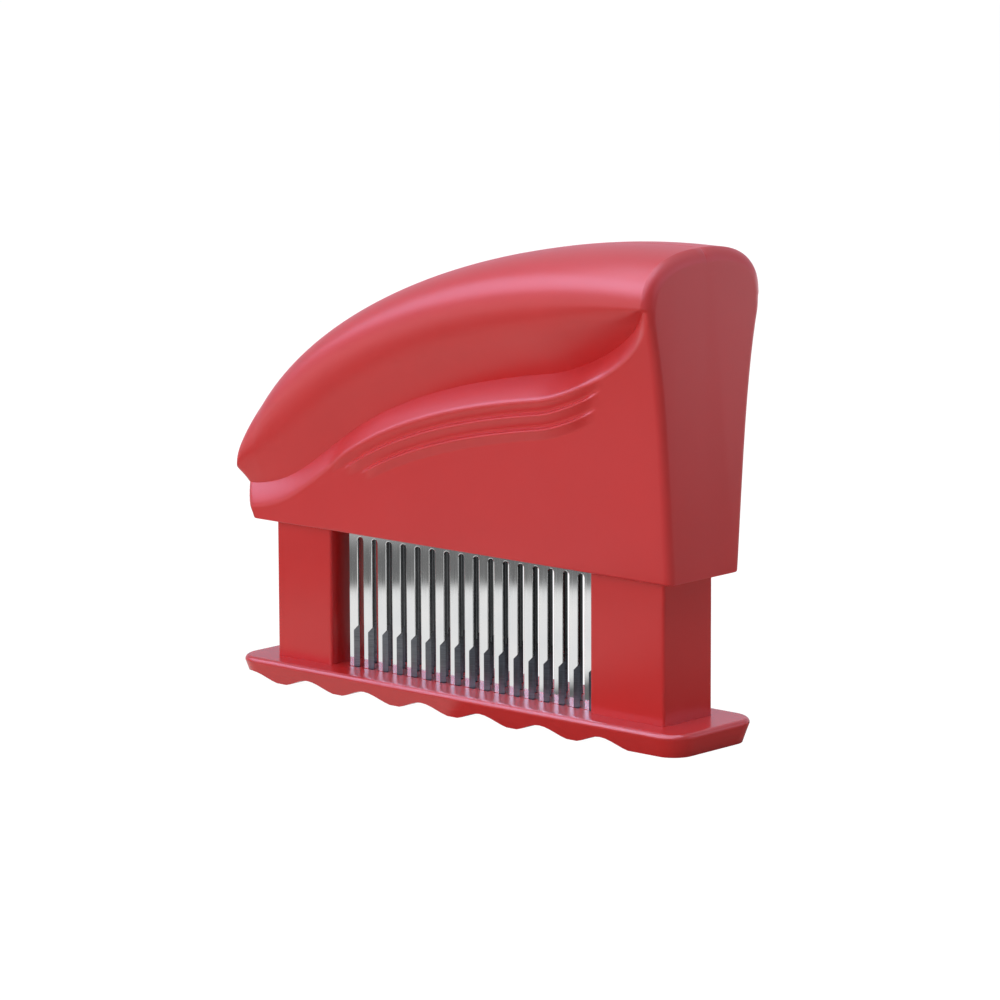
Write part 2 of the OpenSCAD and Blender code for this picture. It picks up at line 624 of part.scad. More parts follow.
module post_screws() {
    color(steel) for (x = post_xs) translate([x, 0, 0]) {
        translate([0, 0, screw_seat - 0.5]) cylinder(d = post_screw_d, h = spring_seat + boss_h - screw_seat - 1);
        difference() {
            translate([0, 0, screw_seat - screw_head_t]) cylinder(d = screw_head_d, h = screw_head_t);
            translate([0, 0, screw_seat - screw_head_t]) cross_recess(screw_head_d);
        }
    }
}

// puts the middle of the whole object's length on the origin
module placed() { translate([-box_mid, 0, 0]) children(); }

placed() handle_front();
placed() handle_rear();
placed() shell_screws();
placed() comb_front();
placed() comb_middle();
placed() comb_rear();
placed() spacer_front();
placed() spacer_rear();
placed() clamp_front();
placed() clamp_rear();
placed() cartridge_bolts();
placed() cartridge_nuts();
placed() left_guide_rod();
placed() right_guide_rod();
placed() left_spring();
placed() right_spring();
placed() left_post();
placed() right_post();
placed() base_plate();
placed() post_screws();
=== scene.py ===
"""Finished pieces of a sprung blade meat tenderizer, built around its packed CAD frame.

The file is laid out as an add-on: each piece has an operator, and their sizes and colours
are properties in the sidebar. Run as a script, it builds the whole object and its studio.
"""

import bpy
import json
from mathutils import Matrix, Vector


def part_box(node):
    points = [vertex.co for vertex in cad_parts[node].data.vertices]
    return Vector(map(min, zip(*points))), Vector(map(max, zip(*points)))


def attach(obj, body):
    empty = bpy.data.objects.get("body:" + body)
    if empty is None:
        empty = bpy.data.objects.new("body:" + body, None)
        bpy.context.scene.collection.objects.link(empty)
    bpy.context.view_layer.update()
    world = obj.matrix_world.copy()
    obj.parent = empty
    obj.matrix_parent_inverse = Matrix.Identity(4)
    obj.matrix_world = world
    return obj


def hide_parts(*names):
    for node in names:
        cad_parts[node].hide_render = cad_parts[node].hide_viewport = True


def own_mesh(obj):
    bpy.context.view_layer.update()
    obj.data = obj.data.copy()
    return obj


bl_info = {
    "name": "Blade Meat Tenderizer",
    "version": (1, 0, 0),
    "blender": (4, 5, 0),
    "location": "3D View > Sidebar > Tenderizer",
    "description": "Builds the moulded handle, blades, guard and springs of a blade tenderizer",
    "category": "Object",
}

import bisect
import json
import math

import bmesh
import bpy
from mathutils import Matrix, Vector

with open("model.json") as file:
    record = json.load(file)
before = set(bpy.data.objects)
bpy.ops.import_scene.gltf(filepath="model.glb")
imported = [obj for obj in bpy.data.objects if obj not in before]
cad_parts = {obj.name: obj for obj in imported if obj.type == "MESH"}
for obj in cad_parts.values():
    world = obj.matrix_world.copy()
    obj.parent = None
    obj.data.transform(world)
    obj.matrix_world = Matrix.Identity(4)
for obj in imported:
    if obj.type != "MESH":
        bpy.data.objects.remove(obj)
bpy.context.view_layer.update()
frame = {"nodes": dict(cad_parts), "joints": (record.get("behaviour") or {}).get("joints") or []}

MM = 0.001
STROKE = frame["joints"][0]["range_m"][1] / MM


def cad_box(node):
    """Lowest and highest corner of a CAD node, in millimetres."""
    low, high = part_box(node)
    return low / MM, high / MM


def cad_box_below(node, z):
    """The same, for the part of the node that lies below the height z."""
    points = [v.co / MM for v in frame["nodes"][node].data.vertices if v.co.z / MM < z]
    low = Vector(min(p[i] for p in points) for i in range(3))
    high = Vector(max(p[i] for p in points) for i in range(3))
    return low, high


# ---------------------------------------------------------------- settings


class HandleSettings(bpy.types.PropertyGroup):
    """Sizes and colour of the moulded handle."""

    colour: bpy.props.StringProperty(
        name="Plastic colour", description="sRGB hex colour of the moulded plastic", default="#CB2826"
    )
    ridge_height: bpy.props.FloatProperty(
        name="Ridge height", description="Height of the three decorative ridges",
        default=1.25 * MM, min=0, max=1.5 * MM, unit="LENGTH", subtype="DISTANCE",
    )
    ridge_pitch: bpy.props.FloatProperty(
        name="Ridge pitch", description="Distance between two ridges",
        default=3.9 * MM, min=3 * MM, max=6 * MM, unit="LENGTH", subtype="DISTANCE",
    )
    ledge_height: bpy.props.FloatProperty(
        name="Ledge height", description="Height of the slope below the finger groove",
        default=6.2 * MM, min=3 * MM, max=8 * MM, unit="LENGTH", subtype="DISTANCE",
    )
    foot_width: bpy.props.FloatProperty(
        name="Foot width", description="Width of the handle at its lower edge",
        default=27.6 * MM, min=24 * MM, max=30 * MM, unit="LENGTH", subtype="DISTANCE",
    )
    nose_width: bpy.props.FloatProperty(
        name="Nose width", description="Width of the palm rest at the nose",
        default=29 * MM, min=26 * MM, max=36 * MM, unit="LENGTH", subtype="DISTANCE",
    )
    waist_width: bpy.props.FloatProperty(
        name="Waist width", description="Width left between the two finger grooves",
        default=24.6 * MM, min=23 * MM, max=26 * MM, unit="LENGTH", subtype="DISTANCE",
    )
    palm_height: bpy.props.FloatProperty(
        name="Palm height", description="Height of the palm rest above its widest line",
        default=13 * MM, min=9 * MM, max=16 * MM, unit="LENGTH", subtype="DISTANCE",
    )
    edge_radius: bpy.props.FloatProperty(
        name="Edge radius", description="Radius of the upright edges, before it grows towards the crest",
        default=2.2 * MM, min=1 * MM, max=4 * MM, unit="LENGTH", subtype="DISTANCE",
    )
    parting_depth: bpy.props.FloatProperty(
        name="Parting line depth", description="Depth of the fine groove where the two shells meet",
        default=0.16 * MM, min=0, max=0.5 * MM, unit="LENGTH", subtype="DISTANCE",
    )


class BladeSettings(bpy.types.PropertyGroup):
    """Sizes of the slotted blade combs."""

    count: bpy.props.IntProperty(
        name="Blades", description="Number of blades in a comb", default=17, min=5, max=30
    )
    slot_radius: bpy.props.FloatProperty(
        name="Slot radius", description="Radius of the round slot tops",
        default=1.0485 * MM, min=0.5 * MM, max=1.5 * MM, unit="LENGTH", subtype="DISTANCE",
    )
    slot_top: bpy.props.FloatProperty(
        name="Slot top", description="Height of the slot tops above the standing plane",
        default=41.4 * MM, min=30 * MM, max=43 * MM, unit="LENGTH", subtype="DISTANCE",
    )
    edge_break: bpy.props.FloatProperty(
        name="Edge break", description="Width of the rounded edge that stamping and tumbling leave",
        default=0.17 * MM, min=0.02 * MM, max=0.3 * MM, unit="LENGTH", subtype="DISTANCE",
    )
    tip_rise: bpy.props.FloatProperty(
        name="Tip rise", description="Rise of the slanted cutting point across one blade",
        default=3.9 * MM, min=1 * MM, max=8 * MM, unit="LENGTH", subtype="DISTANCE",
    )
    grind_height: bpy.props.FloatProperty(
        name="Grind height", description="Height of the ground facet above the tip",
        default=13.5 * MM, min=4 * MM, max=20 * MM, unit="LENGTH", subtype="DISTANCE",
    )
    grind_angle: bpy.props.FloatProperty(
        name="Grind angle", description="Angle of the ground facet to the sheet",
        default=math.radians(24), min=0, max=math.radians(26), subtype="ANGLE",
    )


class GuardSettings(bpy.types.PropertyGroup):
    """Colour of the guard and form of its springs."""

    colour: bpy.props.StringProperty(
        name="Plastic colour", description="sRGB hex colour of the plate and posts", default="#CB2826"
    )
    spring_turns: bpy.props.IntProperty(
        name="Spring turns", description="Number of turns of each spring", default=14, min=6, max=20
    )
    wire: bpy.props.FloatProperty(
        name="Spring wire", description="Diameter of the spring wire",
        default=1.3 * MM, min=0.8 * MM, max=1.6 * MM, unit="LENGTH", subtype="DISTANCE",
    )


class StudioSettings(bpy.types.PropertyGroup):
    """Camera, lights and floor."""

    azimuth: bpy.props.FloatProperty(
        name="Camera azimuth", description="How far round the camera stands from the front",
        default=math.radians(42.096), subtype="ANGLE",
    )
    elevation: bpy.props.FloatProperty(
        name="Camera elevation", description="How far above the horizon the camera stands",
        default=math.radians(10.195), subtype="ANGLE",
    )
    roll: bpy.props.FloatProperty(
        name="Camera roll", description="Turn of the picture about the line of sight",
        default=math.radians(-0.221), subtype="ANGLE",
    )
    distance: bpy.props.FloatProperty(
        name="Camera distance", description="Distance of the camera from the object",
        default=1.4196, min=0.3, max=5, unit="LENGTH", subtype="DISTANCE",
    )
    lens: bpy.props.FloatProperty(
        name="Focal length", description="Focal length for a 36 mm sensor, in millimetres",
        default=197.4, min=20, max=400,
    )
    target: bpy.props.FloatVectorProperty(
        name="Camera target", description="Point in the middle of the picture",
        default=(0.003385, 0.000889, 0.055285), size=3, unit="LENGTH", subtype="TRANSLATION",
    )
    front_level: bpy.props.FloatProperty(
        name="Front softbox", description="Brightness of the softbox in front", default=3.2, min=0
    )
    top_level: bpy.props.FloatProperty(
        name="Top softbox", description="Brightness of the softbox overhead", default=1.4, min=0
    )
    back_level: bpy.props.FloatProperty(
        name="Back softbox", description="Brightness of the softbox at the rear right", default=1.15, min=0
    )
    rear_level: bpy.props.FloatProperty(
        name="Rear softbox", description="Brightness of the softbox that fills in the rear",
        default=1.6, min=0,
    )
    gloss_level: bpy.props.FloatProperty(
        name="Reflected panels", description="Brightness factor of the panels that the gloss reflects",
        default=1.0, min=0,
    )
    world_level: bpy.props.FloatProperty(
        name="World level", description="Brightness of the surrounding studio", default=0.2, min=0
    )
    world_gloss: bpy.props.FloatProperty(
        name="World reflection", description="Brightness of the studio in reflections", default=0.75, min=0
    )


SETTINGS = (
    ("tenderizer_handle", HandleSettings),
    ("tenderizer_blades", BladeSettings),
    ("tenderizer_guard", GuardSettings),
    ("tenderizer_studio", StudioSettings),
)


# ---------------------------------------------------------------- materials


def linear(hex_colour):
    """Linear RGBA of an sRGB hex colour such as "#CB2826"."""
    values = [int(hex_colour.lstrip("#")[i : i + 2], 16) / 255 for i in (0, 2, 4)]
    return tuple(v / 12.92 if v <= 0.04045 else ((v + 0.055) / 1.055) ** 2.4 for v in values) + (1.0,)


def add_node(tree, kind, inputs=None, stops=(), **settings):
    """Adds a node with its settings and, on a colour ramp, its (position, RGBA) stops.

    An input is a value, a socket to link from, or a node whose first output is linked.
    """
    node = tree.nodes.new(kind)
    for name, value in settings.items():
        setattr(node, name, value)
    if stops:
        elements = node.color_ramp.elements
        elements[0].position, elements[0].color = stops[0]
        elements[1].position, elements[1].color = stops[-1]
        for position, colour in stops[1:-1]:
            elements.new(position).color = colour
    for name, value in (inputs or {}).items():
        if isinstance(value, bpy.types.Node):
            value = value.outputs[0]
        if isinstance(value, bpy.types.NodeSocket):
            tree.links.new(value, node.inputs[name])
        else:
            node.inputs[name].default_value = value
    return node


def new_material(name):
    """A material, its empty node tree and its object coordinates in metres."""
    material = bpy.data.materials.new(name)
    material.use_nodes = True
    tree = material.node_tree
    tree.nodes.clear()
    return material, tree, add_node(tree, "ShaderNodeTexCoord").outputs["Object"]


def grains(place, size, detail):
    """Noise inputs for a pattern that repeats about every size millimetres."""
    return {"Vector": place, "Scale": 1.0 / (size * MM), "Detail": detail}


def between(dark, light):
    """Ramp stops from one hex colour to another, over the usual range of a noise."""
    return [(0.3, linear(dark)), (0.7, linear(light))]


def spread(noise, low, high, start=0.3, stop=0.7):
    """Map Range inputs that spread the usual range of a noise from low to high."""
    return {"Value": noise, "From Min": start, "From Max": stop, "To Min": low, "To Max": high}


def grey(level):
    """A neutral linear colour."""
    return (level, level, level, 1.0)


def scaled(colour, factor):
    """The same colour, lighter or darker."""
    return tuple(min(1.0, c * factor) for c in colour[:3]) + (1.0,)


def moulded_abs(name, hex_colour, polished, dulled):
    """Injection-moulded ABS: an even, deep colour under a soft satin gloss.

    The eye gets a faint orange peel in the reflections, slow flow variation of the colour,
    and patches that handling has polished or dulled a little, between the two roughnesses.
    """
    material, tree, place = new_material(name)
    base = linear(hex_colour)
    # flow variation of the pigment, about 35 mm across
    flow = add_node(tree, "ShaderNodeTexNoise", grains(place, 35, 3.0))
    colour = add_node(
        tree, "ShaderNodeValToRGB", {"Fac": flow}, [(0.1, scaled(base, 0.95)), (0.9, scaled(base, 1.05))]
    )
    # rubbed and dulled patches, about 14 mm across
    patches = add_node(tree, "ShaderNodeTexNoise", grains(place, 14, 4.0))
    gloss = add_node(tree, "ShaderNodeMapRange", spread(patches, polished, dulled, 0.1, 0.9))
    # orange peel of the tool's polish, 2.5 mm waves, and a 0.35 mm grain over it
    peel = add_node(tree, "ShaderNodeTexNoise", grains(place, 2.5, 2.0))
    grain = add_node(tree, "ShaderNodeTexNoise", grains(place, 0.35, 1.0))
    soft = add_node(tree, "ShaderNodeBump", {"Height": peel, "Strength": 0.06, "Distance": 0.2 * MM})
    fine = add_node(
        tree, "ShaderNodeBump",
        {"Height": grain, "Strength": 0.05, "Distance": 0.05 * MM, "Normal": soft},
    )
    shader = add_node(
        tree, "ShaderNodeBsdfPrincipled",
        {"Base Color": colour, "Roughness": gloss, "IOR": 1.54, "Normal": fine},
    )
    add_node(tree, "ShaderNodeOutputMaterial", {"Surface": shader})
    return material


def polished_stainless(name, dark, light, polished, dulled):
    """Cold-rolled stainless sheet, stamped and polished: a slightly streaked mirror.

    Fine streaks run down the blades, along the polishing, and faint stains vary the tone
    between the two colours. The last two arguments are the roughness range.
    """
    material, tree, place = new_material(name)
    # polishing streaks 0.25 mm apart across the blade and 25 mm long, coarser than real to show
    stretch = add_node(tree, "ShaderNodeMapping", {"Vector": place, "Scale": (1.0, 1.0, 0.01)})
    streaks = add_node(tree, "ShaderNodeTexNoise", grains(stretch, 0.25, 2.0))
    # stains about 9 mm across
    stains = add_node(tree, "ShaderNodeTexNoise", grains(place, 9, 3.0))
    colour = add_node(tree, "ShaderNodeValToRGB", {"Fac": stains}, between(dark, light))
    rough = add_node(tree, "ShaderNodeMapRange", spread(streaks, polished, dulled))
    bump = add_node(tree, "ShaderNodeBump", {"Height": streaks, "Strength": 0.04, "Distance": 0.03 * MM})
    shader = add_node(
        tree, "ShaderNodeBsdfPrincipled",
        {"Base Color": colour, "Metallic": 1.0, "Roughness": rough, "Normal": bump},
    )
    add_node(tree, "ShaderNodeOutputMaterial", {"Surface": shader})
    return material


def ground_stainless():
    """Stainless as it leaves the grinding wheel, with fine level lines; its dark tone is partly real and
    partly painted shade, for the shade that the tilted facets reflect.
    """
    material, tree, place = new_material("ground_stainless_tip")
    # grinding lines 0.15 mm apart, level across the tip, coarser than real to show
    stretch = add_node(tree, "ShaderNodeMapping", {"Vector": place, "Scale": (0.02, 0.02, 1.0)})
    lines = add_node(tree, "ShaderNodeTexNoise", grains(stretch, 0.15, 2.0))
    # the dark tone is in part painted shade, for the shade that the facets reflect
    colour = add_node(tree, "ShaderNodeValToRGB", {"Fac": lines}, between("#5B5C5D", "#767778"))
    bump = add_node(tree, "ShaderNodeBump", {"Height": lines, "Strength": 0.1, "Distance": 0.02 * MM})
    shader = add_node(
        tree, "ShaderNodeBsdfPrincipled",
        {"Base Color": colour, "Metallic": 1.0, "Roughness": 0.32, "Normal": bump},
    )
    add_node(tree, "ShaderNodeOutputMaterial", {"Surface": shader})
    return material


def zinc_plated_steel():
    """Cold-headed steel with bright zinc: cool grey with a slightly cloudy, satin surface."""
    material, tree, place = new_material("zinc_plated_screw_steel")
    # clouds in the plating, 1.6 mm across
    clouds = add_node(tree, "ShaderNodeTexNoise", grains(place, 1.6, 4.0))
    colour = add_node(tree, "ShaderNodeValToRGB", {"Fac": clouds}, between("#A9ADB1", "#C9CCCE"))
    rough = add_node(tree, "ShaderNodeMapRange", spread(clouds, 0.26, 0.42))
    shader = add_node(
        tree, "ShaderNodeBsdfPrincipled", {"Base Color": colour, "Metallic": 1.0, "Roughness": rough}
    )
    add_node(tree, "ShaderNodeOutputMaterial", {"Surface": shader})
    return material


def rolled_stainless_bar():
    """Flat stainless bar as rolled: grey, with dull lengthwise lines."""
    material, tree, place = new_material("rolled_stainless_bar")
    # rolling lines 0.4 mm apart, along X
    stretch = add_node(tree, "ShaderNodeMapping", {"Vector": place, "Scale": (0.02, 1.0, 1.0)})
    lines = add_node(tree, "ShaderNodeTexNoise", grains(stretch, 0.4, 3.0))
    colour = add_node(tree, "ShaderNodeValToRGB", {"Fac": lines}, between("#8D8F91", "#A6A8A9"))
    bump = add_node(tree, "ShaderNodeBump", {"Height": lines, "Strength": 0.1, "Distance": 0.03 * MM})
    shader = add_node(
        tree, "ShaderNodeBsdfPrincipled",
        {"Base Color": colour, "Metallic": 1.0, "Roughness": 0.38, "Normal": bump},
    )
    add_node(tree, "ShaderNodeOutputMaterial", {"Surface": shader})
    return material


def drawn_spring_wire():
    """Hard-drawn stainless spring wire: dark, fairly bright steel, clouded by oil stains."""
    material, tree, place = new_material("drawn_spring_wire")
    # stains 3 mm across
    stains = add_node(tree, "ShaderNodeTexNoise", grains(place, 3, 4.0))
    colour = add_node(tree, "ShaderNodeValToRGB", {"Fac": stains}, between("#77797B", "#989A9C"))
    rough = add_node(tree, "ShaderNodeMapRange", spread(stains, 0.24, 0.4))
    shader = add_node(
        tree, "ShaderNodeBsdfPrincipled", {"Base Color": colour, "Metallic": 1.0, "Roughness": rough}
    )
    add_node(tree, "ShaderNodeOutputMaterial", {"Surface": shader})
    return material


def moulded_acetal():
    """Dark grey acetal, moulded in a spark-eroded tool: matt, with a fine even grain."""
    material, tree, place = new_material("moulded_grey_acetal")
    # the tool's grain is 0.5 mm across, the flow variation of the tone 12 mm
    grain = add_node(tree, "ShaderNodeTexNoise", grains(place, 0.5, 2.0))
    tone = add_node(tree, "ShaderNodeTexNoise", grains(place, 12, 2.0))
    colour = add_node(tree, "ShaderNodeValToRGB", {"Fac": tone}, between("#262729", "#303133"))
    bump = add_node(tree, "ShaderNodeBump", {"Height": grain, "Strength": 0.2, "Distance": 0.06 * MM})
    shader = add_node(
        tree, "ShaderNodeBsdfPrincipled",
        {"Base Color": colour, "Roughness": 0.5, "IOR": 1.48, "Normal": bump},
    )
    add_node(tree, "ShaderNodeOutputMaterial", {"Surface": shader})
    return material


_made = {}


def once(maker, *arguments):
    """The material that maker gives, made the first time it is asked for."""
    key = (maker.__name__, arguments)
    if key not in _made:
        _made[key] = maker(*arguments)
    return _made[key]


def coat(material, *nodes):
    """Gives CAD nodes this material in place of their plain one."""
    for node in nodes:
        slots = frame["nodes"][node].data.materials
        slots.clear()
        slots.append(material)


# ---------------------------------------------------------------- mesh tools


def clamp01(value):
    return max(0.0, min(1.0, value))


def ease(value):
    c = clamp01(value)
    return c * c * (3 - 2 * c)


def mix(a, b, share):
    return a + (b - a) * share


def bezier(points, t):
    weights = ((1 - t) ** 3, 3 * (1 - t) ** 2 * t, 3 * (1 - t) * t * t, t**3)
    return tuple(sum(w * p[i] for w, p in zip(weights, points)) for i in (0, 1))


def height_at(points, x):
    """Height of a curve at x, found by halving."""
    low, high = 0.0, 1.0
    for _ in range(32):
        middle = (low + high) / 2
        if bezier(points, middle)[0] > x:
            high = middle
        else:
            low = middle
    return bezier(points, (low + high) / 2)[1]


def make_object(name, bm, material, sharp=35):
    """A mesh object from a bmesh in millimetres, smooth-shaded up to the sharp angle."""
    bmesh.ops.scale(bm, vec=(MM, MM, MM), verts=bm.verts)
    mesh = bpy.data.meshes.new(name)
    bm.to_mesh(mesh)
    bm.free()
    mesh.shade_smooth()
    mesh.set_sharp_from_angle(angle=math.radians(sharp))
    mesh.materials.append(material)
    piece = bpy.data.objects.new(name, mesh)
    bpy.context.scene.collection.objects.link(piece)
    return piece


def box_tool(x0, x1, y0, y1, z0, z1):
    """A closed box in a bmesh, for cutting."""
    bm = bmesh.new()
    bmesh.ops.create_cube(bm, size=1.0)
    bmesh.ops.scale(bm, vec=(x1 - x0, y1 - y0, z1 - z0), verts=bm.verts)
    bmesh.ops.translate(bm, vec=((x0 + x1) / 2, (y0 + y1) / 2, (z0 + z1) / 2), verts=bm.verts)
    return bm


def rod_tool(start, end, radius, segments=40):
    """A closed cylinder between two points, for cutting."""
    bm = bmesh.new()
    a, b = Vector(start), Vector(end)
    bmesh.ops.create_cone(
        bm, cap_ends=True, segments=segments, radius1=radius, radius2=radius, depth=(b - a).length
    )
    turn = Vector((0, 0, 1)).rotation_difference(b - a).to_matrix()
    bmesh.ops.rotate(bm, matrix=turn, verts=bm.verts)
    bmesh.ops.translate(bm, vec=(a + b) / 2, verts=bm.verts)
    return bm


def temporary(bm, name):
    """A scene object with this bmesh, which is used up."""
    mesh = bpy.data.meshes.new(name)
    bm.to_mesh(mesh)
    bm.free()
    tool = bpy.data.objects.new(name, mesh)
    bpy.context.scene.collection.objects.link(tool)
    return tool


def combine(body, tool, operation):
    """Result of an exact boolean of two bmeshes, as a bmesh. Both inputs are used up."""
    a, b = temporary(body, "body"), temporary(tool, "tool")
    modifier = a.modifiers.new("cut", "BOOLEAN")
    modifier.operation, modifier.solver, modifier.object = operation, "EXACT", b
    bpy.context.view_layer.update()
    result = bmesh.new()
    result.from_object(a, bpy.context.evaluated_depsgraph_get())
    meshes = a.data, b.data
    for o in (a, b):
        bpy.data.objects.remove(o)
    for m in meshes:
        bpy.data.meshes.remove(m)
    if not result.faces:
        raise RuntimeError(f"the {operation.lower()} left nothing")
    return result


def united(tools):
    """One closed tool from several that may overlap."""
    whole = tools[0]
    for tool in tools[1:]:
        whole = combine(whole, tool, "UNION")
    return whole


def tube(rings):
    """A closed solid through rings of equally many points, with a flat cap at each end."""
    bm = bmesh.new()
    rings = [[bm.verts.new(point) for point in ring] for ring in rings]
    for a, b in zip(rings, rings[1:]):
        for j in range(len(a)):
            k = (j + 1) % len(a)
            bm.faces.new((a[j], a[k], b[k], b[j]))
    bm.faces.new(rings[0])
    bm.faces.new(list(reversed(rings[-1])))
    bmesh.ops.recalc_face_normals(bm, faces=bm.faces)
    return bm


def lathe(profile, segments=48):
    """A closed solid of revolution about Z from (radius, height) points, from axis to axis."""
    bm = bmesh.new()
    angles = [2 * math.pi * i / segments for i in range(segments)]
    rings = []
    for radius, height in profile:
        if radius < 1e-6:
            rings.append([bm.verts.new((0, 0, height))])
        else:
            rings.append([bm.verts.new((radius * math.cos(a), radius * math.sin(a), height)) for a in angles])
    for lower, upper in zip(rings, rings[1:]):
        for i in range(segments):
            j = (i + 1) % segments
            if len(lower) == 1:
                bm.faces.new((lower[0], upper[j], upper[i]))
            elif len(upper) == 1:
                bm.faces.new((lower[i], lower[j], upper[0]))
            else:
                bm.faces.new((lower[i], lower[j], upper[j], upper[i]))
    bmesh.ops.recalc_face_normals(bm, faces=bm.faces)
    return bm


def moved(bm, matrix):
    bmesh.ops.transform(bm, matrix=matrix, verts=bm.verts)
    return bm


def join(parts):
    """One bmesh that holds several separate solids."""
    whole = parts[0]
    for part in parts[1:]:
        mesh = bpy.data.meshes.new("part")
        part.to_mesh(mesh)
        part.free()
        whole.from_mesh(mesh)
        bpy.data.meshes.remove(mesh)
    return whole


# ---------------------------------------------------------------- handle


class HandleSkin:
    """Outer skin of the handle as sections along X, in millimetres: the form of the CAD shells."""

    FULLNESS = 2.4  # exponent of the palm rest's rounding, 2 for an ellipse
    STRAIGHT = 0.5  # share of the groove's wall that is straight
    NOSE_OUT = 5.6  # how far the nose stands out over the foot
    NOSE_RISE = 13.4  # height of the nose's slanted end
    NOSE_TAPER = 150  # length over which the palm rest widens
    WAIST_NOSE_WIDTH = 23.0  # width left between the grooves at the nose
    RIDGE_FOOT = 2.5  # reach of a ridge's long lower side
    # where the form of a ridge is sampled, from its foot to its short upper side
    RIDGE_STEPS = (
        2.8, 2.5, 2.2, 1.6, 1.0, 0.5, 0.3, 0.15, 0.0, -0.12, -0.25, -0.4, -0.55, -0.7, -0.85, -1.05,
    )

    def __init__(self, s):
        low, high = cad_box("handle_front")
        # the curves start at the nose point, 0.05 mm before the first section
        self.nose, self.right = low.x - 0.05, high.x
        self.lower, self.top = low.z, high.z
        self.palm_width = -2 * low.y
        self.left = self.nose + self.NOSE_OUT
        self.crest_x = self.right - 7
        self.widest = self.top - s.palm_height / MM
        self.groove_end = self.right - 3
        self.foot_width = s.foot_width / MM
        self.nose_width = s.nose_width / MM
        self.waist_width = s.waist_width / MM
        self.palm_height = s.palm_height / MM
        self.ledge_height = s.ledge_height / MM
        self.ridge_height = s.ridge_height / MM
        self.ridge_pitch = s.ridge_pitch / MM
        self.edge = s.edge_radius / MM
        self.parting = s.parting_depth / MM
        self.ridge_span = 2 * self.ridge_pitch + self.RIDGE_FOOT
        low, high = cad_box_below("left_post", self.lower)
        self.post_x = (low.x + high.x) / 2
        # Bezier points of the crest and of the groove, to the left and right of its shoulder
        n, z, c = self.nose, self.lower, self.crest_x
        sx, sz = self.right - 41, self.top - 34.2
        self.crest_curve = ((n, z + 15.4), (n + 3.8, z + 51.4), (c - 66.8, self.top), (c, self.top))
        self.shoulder_x = sx
        self.groove_left = ((n, z + 8.9), (n + 34.2, z + 8.9), (n + 27, sz - 13), (sx, sz))
        self.groove_right = (
            (sx, sz), (sx + 10.8, sz + 1.7), (self.groove_end - 6.4, self.widest - 9.6),
            (self.groove_end, self.widest - 1.1),
        )

    def crest(self, x):
        return self.top if x >= self.crest_x else height_at(self.crest_curve, x)

    def bottom(self, x):
        return self.lower + max(0.0, self.left - x) / (self.left - self.nose) * self.NOSE_RISE

    def groove(self, x):
        if x < self.shoulder_x:
            return height_at(self.groove_left, x)
        return height_at(self.groove_right, min(x, self.groove_end))

    def palm_rise(self, x):
        share = mix(0.5, 0.92, clamp01((x - self.nose) / (self.right - self.nose)))
        return min(self.palm_height, (self.crest(x) - self.groove(x)) * share)

    def palm_half(self, x):
        share = 1 - (1 - clamp01((x - self.nose) / self.NOSE_TAPER)) ** 1.5
        return mix(self.nose_width, self.palm_width, share) / 2

    def body_half(self, z):
        t = clamp01((z - self.lower) / (self.widest - self.lower))
        return mix(self.foot_width, self.palm_width, 0.6 * t + 0.4 * t**4.4) / 2

    def waist_half(self, x):
        narrow = mix(self.WAIST_NOSE_WIDTH, self.waist_width, ease((x - self.post_x - 12) / 20)) / 2
        return mix(narrow, self.body_half(self.groove(x)), clamp01((x - self.right + 29) / 28) ** 1.6)

    def lean(self, u):
        """Share of the way out along the groove's wall: straight at first, then upright at its top."""
        v = max(0.0, (u - self.STRAIGHT) / (1 - self.STRAIGHT))
        return 2 / (1 + self.STRAIGHT) * (min(u, self.STRAIGHT) + (1 - self.STRAIGHT) * (v - v * v / 2))

    def ridge_size(self, x, k):
        """Height of ridge k at x: each fades in and out over 8 mm, and lower ones are shorter."""
        start, stop = self.left + 28.9 + 6.2 * k, self.right - 17.5 - 1.8 * k
        return self.ridge_height * ease((x - start) / 8) * ease((stop - x) / 8)

    @staticmethod
    def rounding(distance, radius, angle):
        """How much a rounded edge takes off at this distance from its end face.

        The rounding starts at the angle, which leaves a crease, and ends upright.
        """
        if distance >= radius * (1 - math.sin(angle)):
            return 0.0
        return radius * (math.cos(angle) - math.sqrt(max(0.0, 1 - (1 - max(0.0, distance) / radius) ** 2)))

    def inset(self, x, z):
        """The right end's edge grows from a plain rounding to a creased, wider one over the crest."""
        crease = ease((z - self.widest + 5) / 8)
        nose_face = x - self.left + (self.left - self.nose) * clamp01((z - self.lower) / self.NOSE_RISE)
        return self.rounding(
            self.right - x, self.edge * mix(1, 2, crease), math.radians(30) * crease
        ) + self.rounding(nose_face, self.edge, 0.0)

    def section(self, x):
        """Half a cross-section, as (half width, height) from the lower edge to the crest."""
        zb, zv, rise = self.lower, self.groove(x), self.palm_rise(x)
        zw, wb, wv = self.crest(x) - rise, self.palm_half(x), self.waist_half(x)
        zl = zv - min(self.ledge_height, 0.82 * (zv - zb))
        k = min(1.0, 0.85 * (zl - zb) / self.ridge_span)
        start = zl - k * (self.ridge_span + 0.3)
        points = [[self.body_half(z), z] for z in (mix(zb, start, i / 14) for i in range(14))]
        # the lower edge is broken by a small radius
        radius = min(0.45, 0.2 * (start - zb))
        foot = [
            [self.body_half(zb) - radius * (1 - math.sin(a)), zb + radius * (1 - math.cos(a))]
            for a in (math.pi / 2 * i / 4 for i in range(5))
        ]
        points = foot + points[1:]
        for r in (2, 1):
            for s in self.RIDGE_STEPS:
                z = zl - k * (r * self.ridge_pitch + s)
                points.append([self.body_half(z) + self.bead(s) * self.ridge_size(x, r), z])
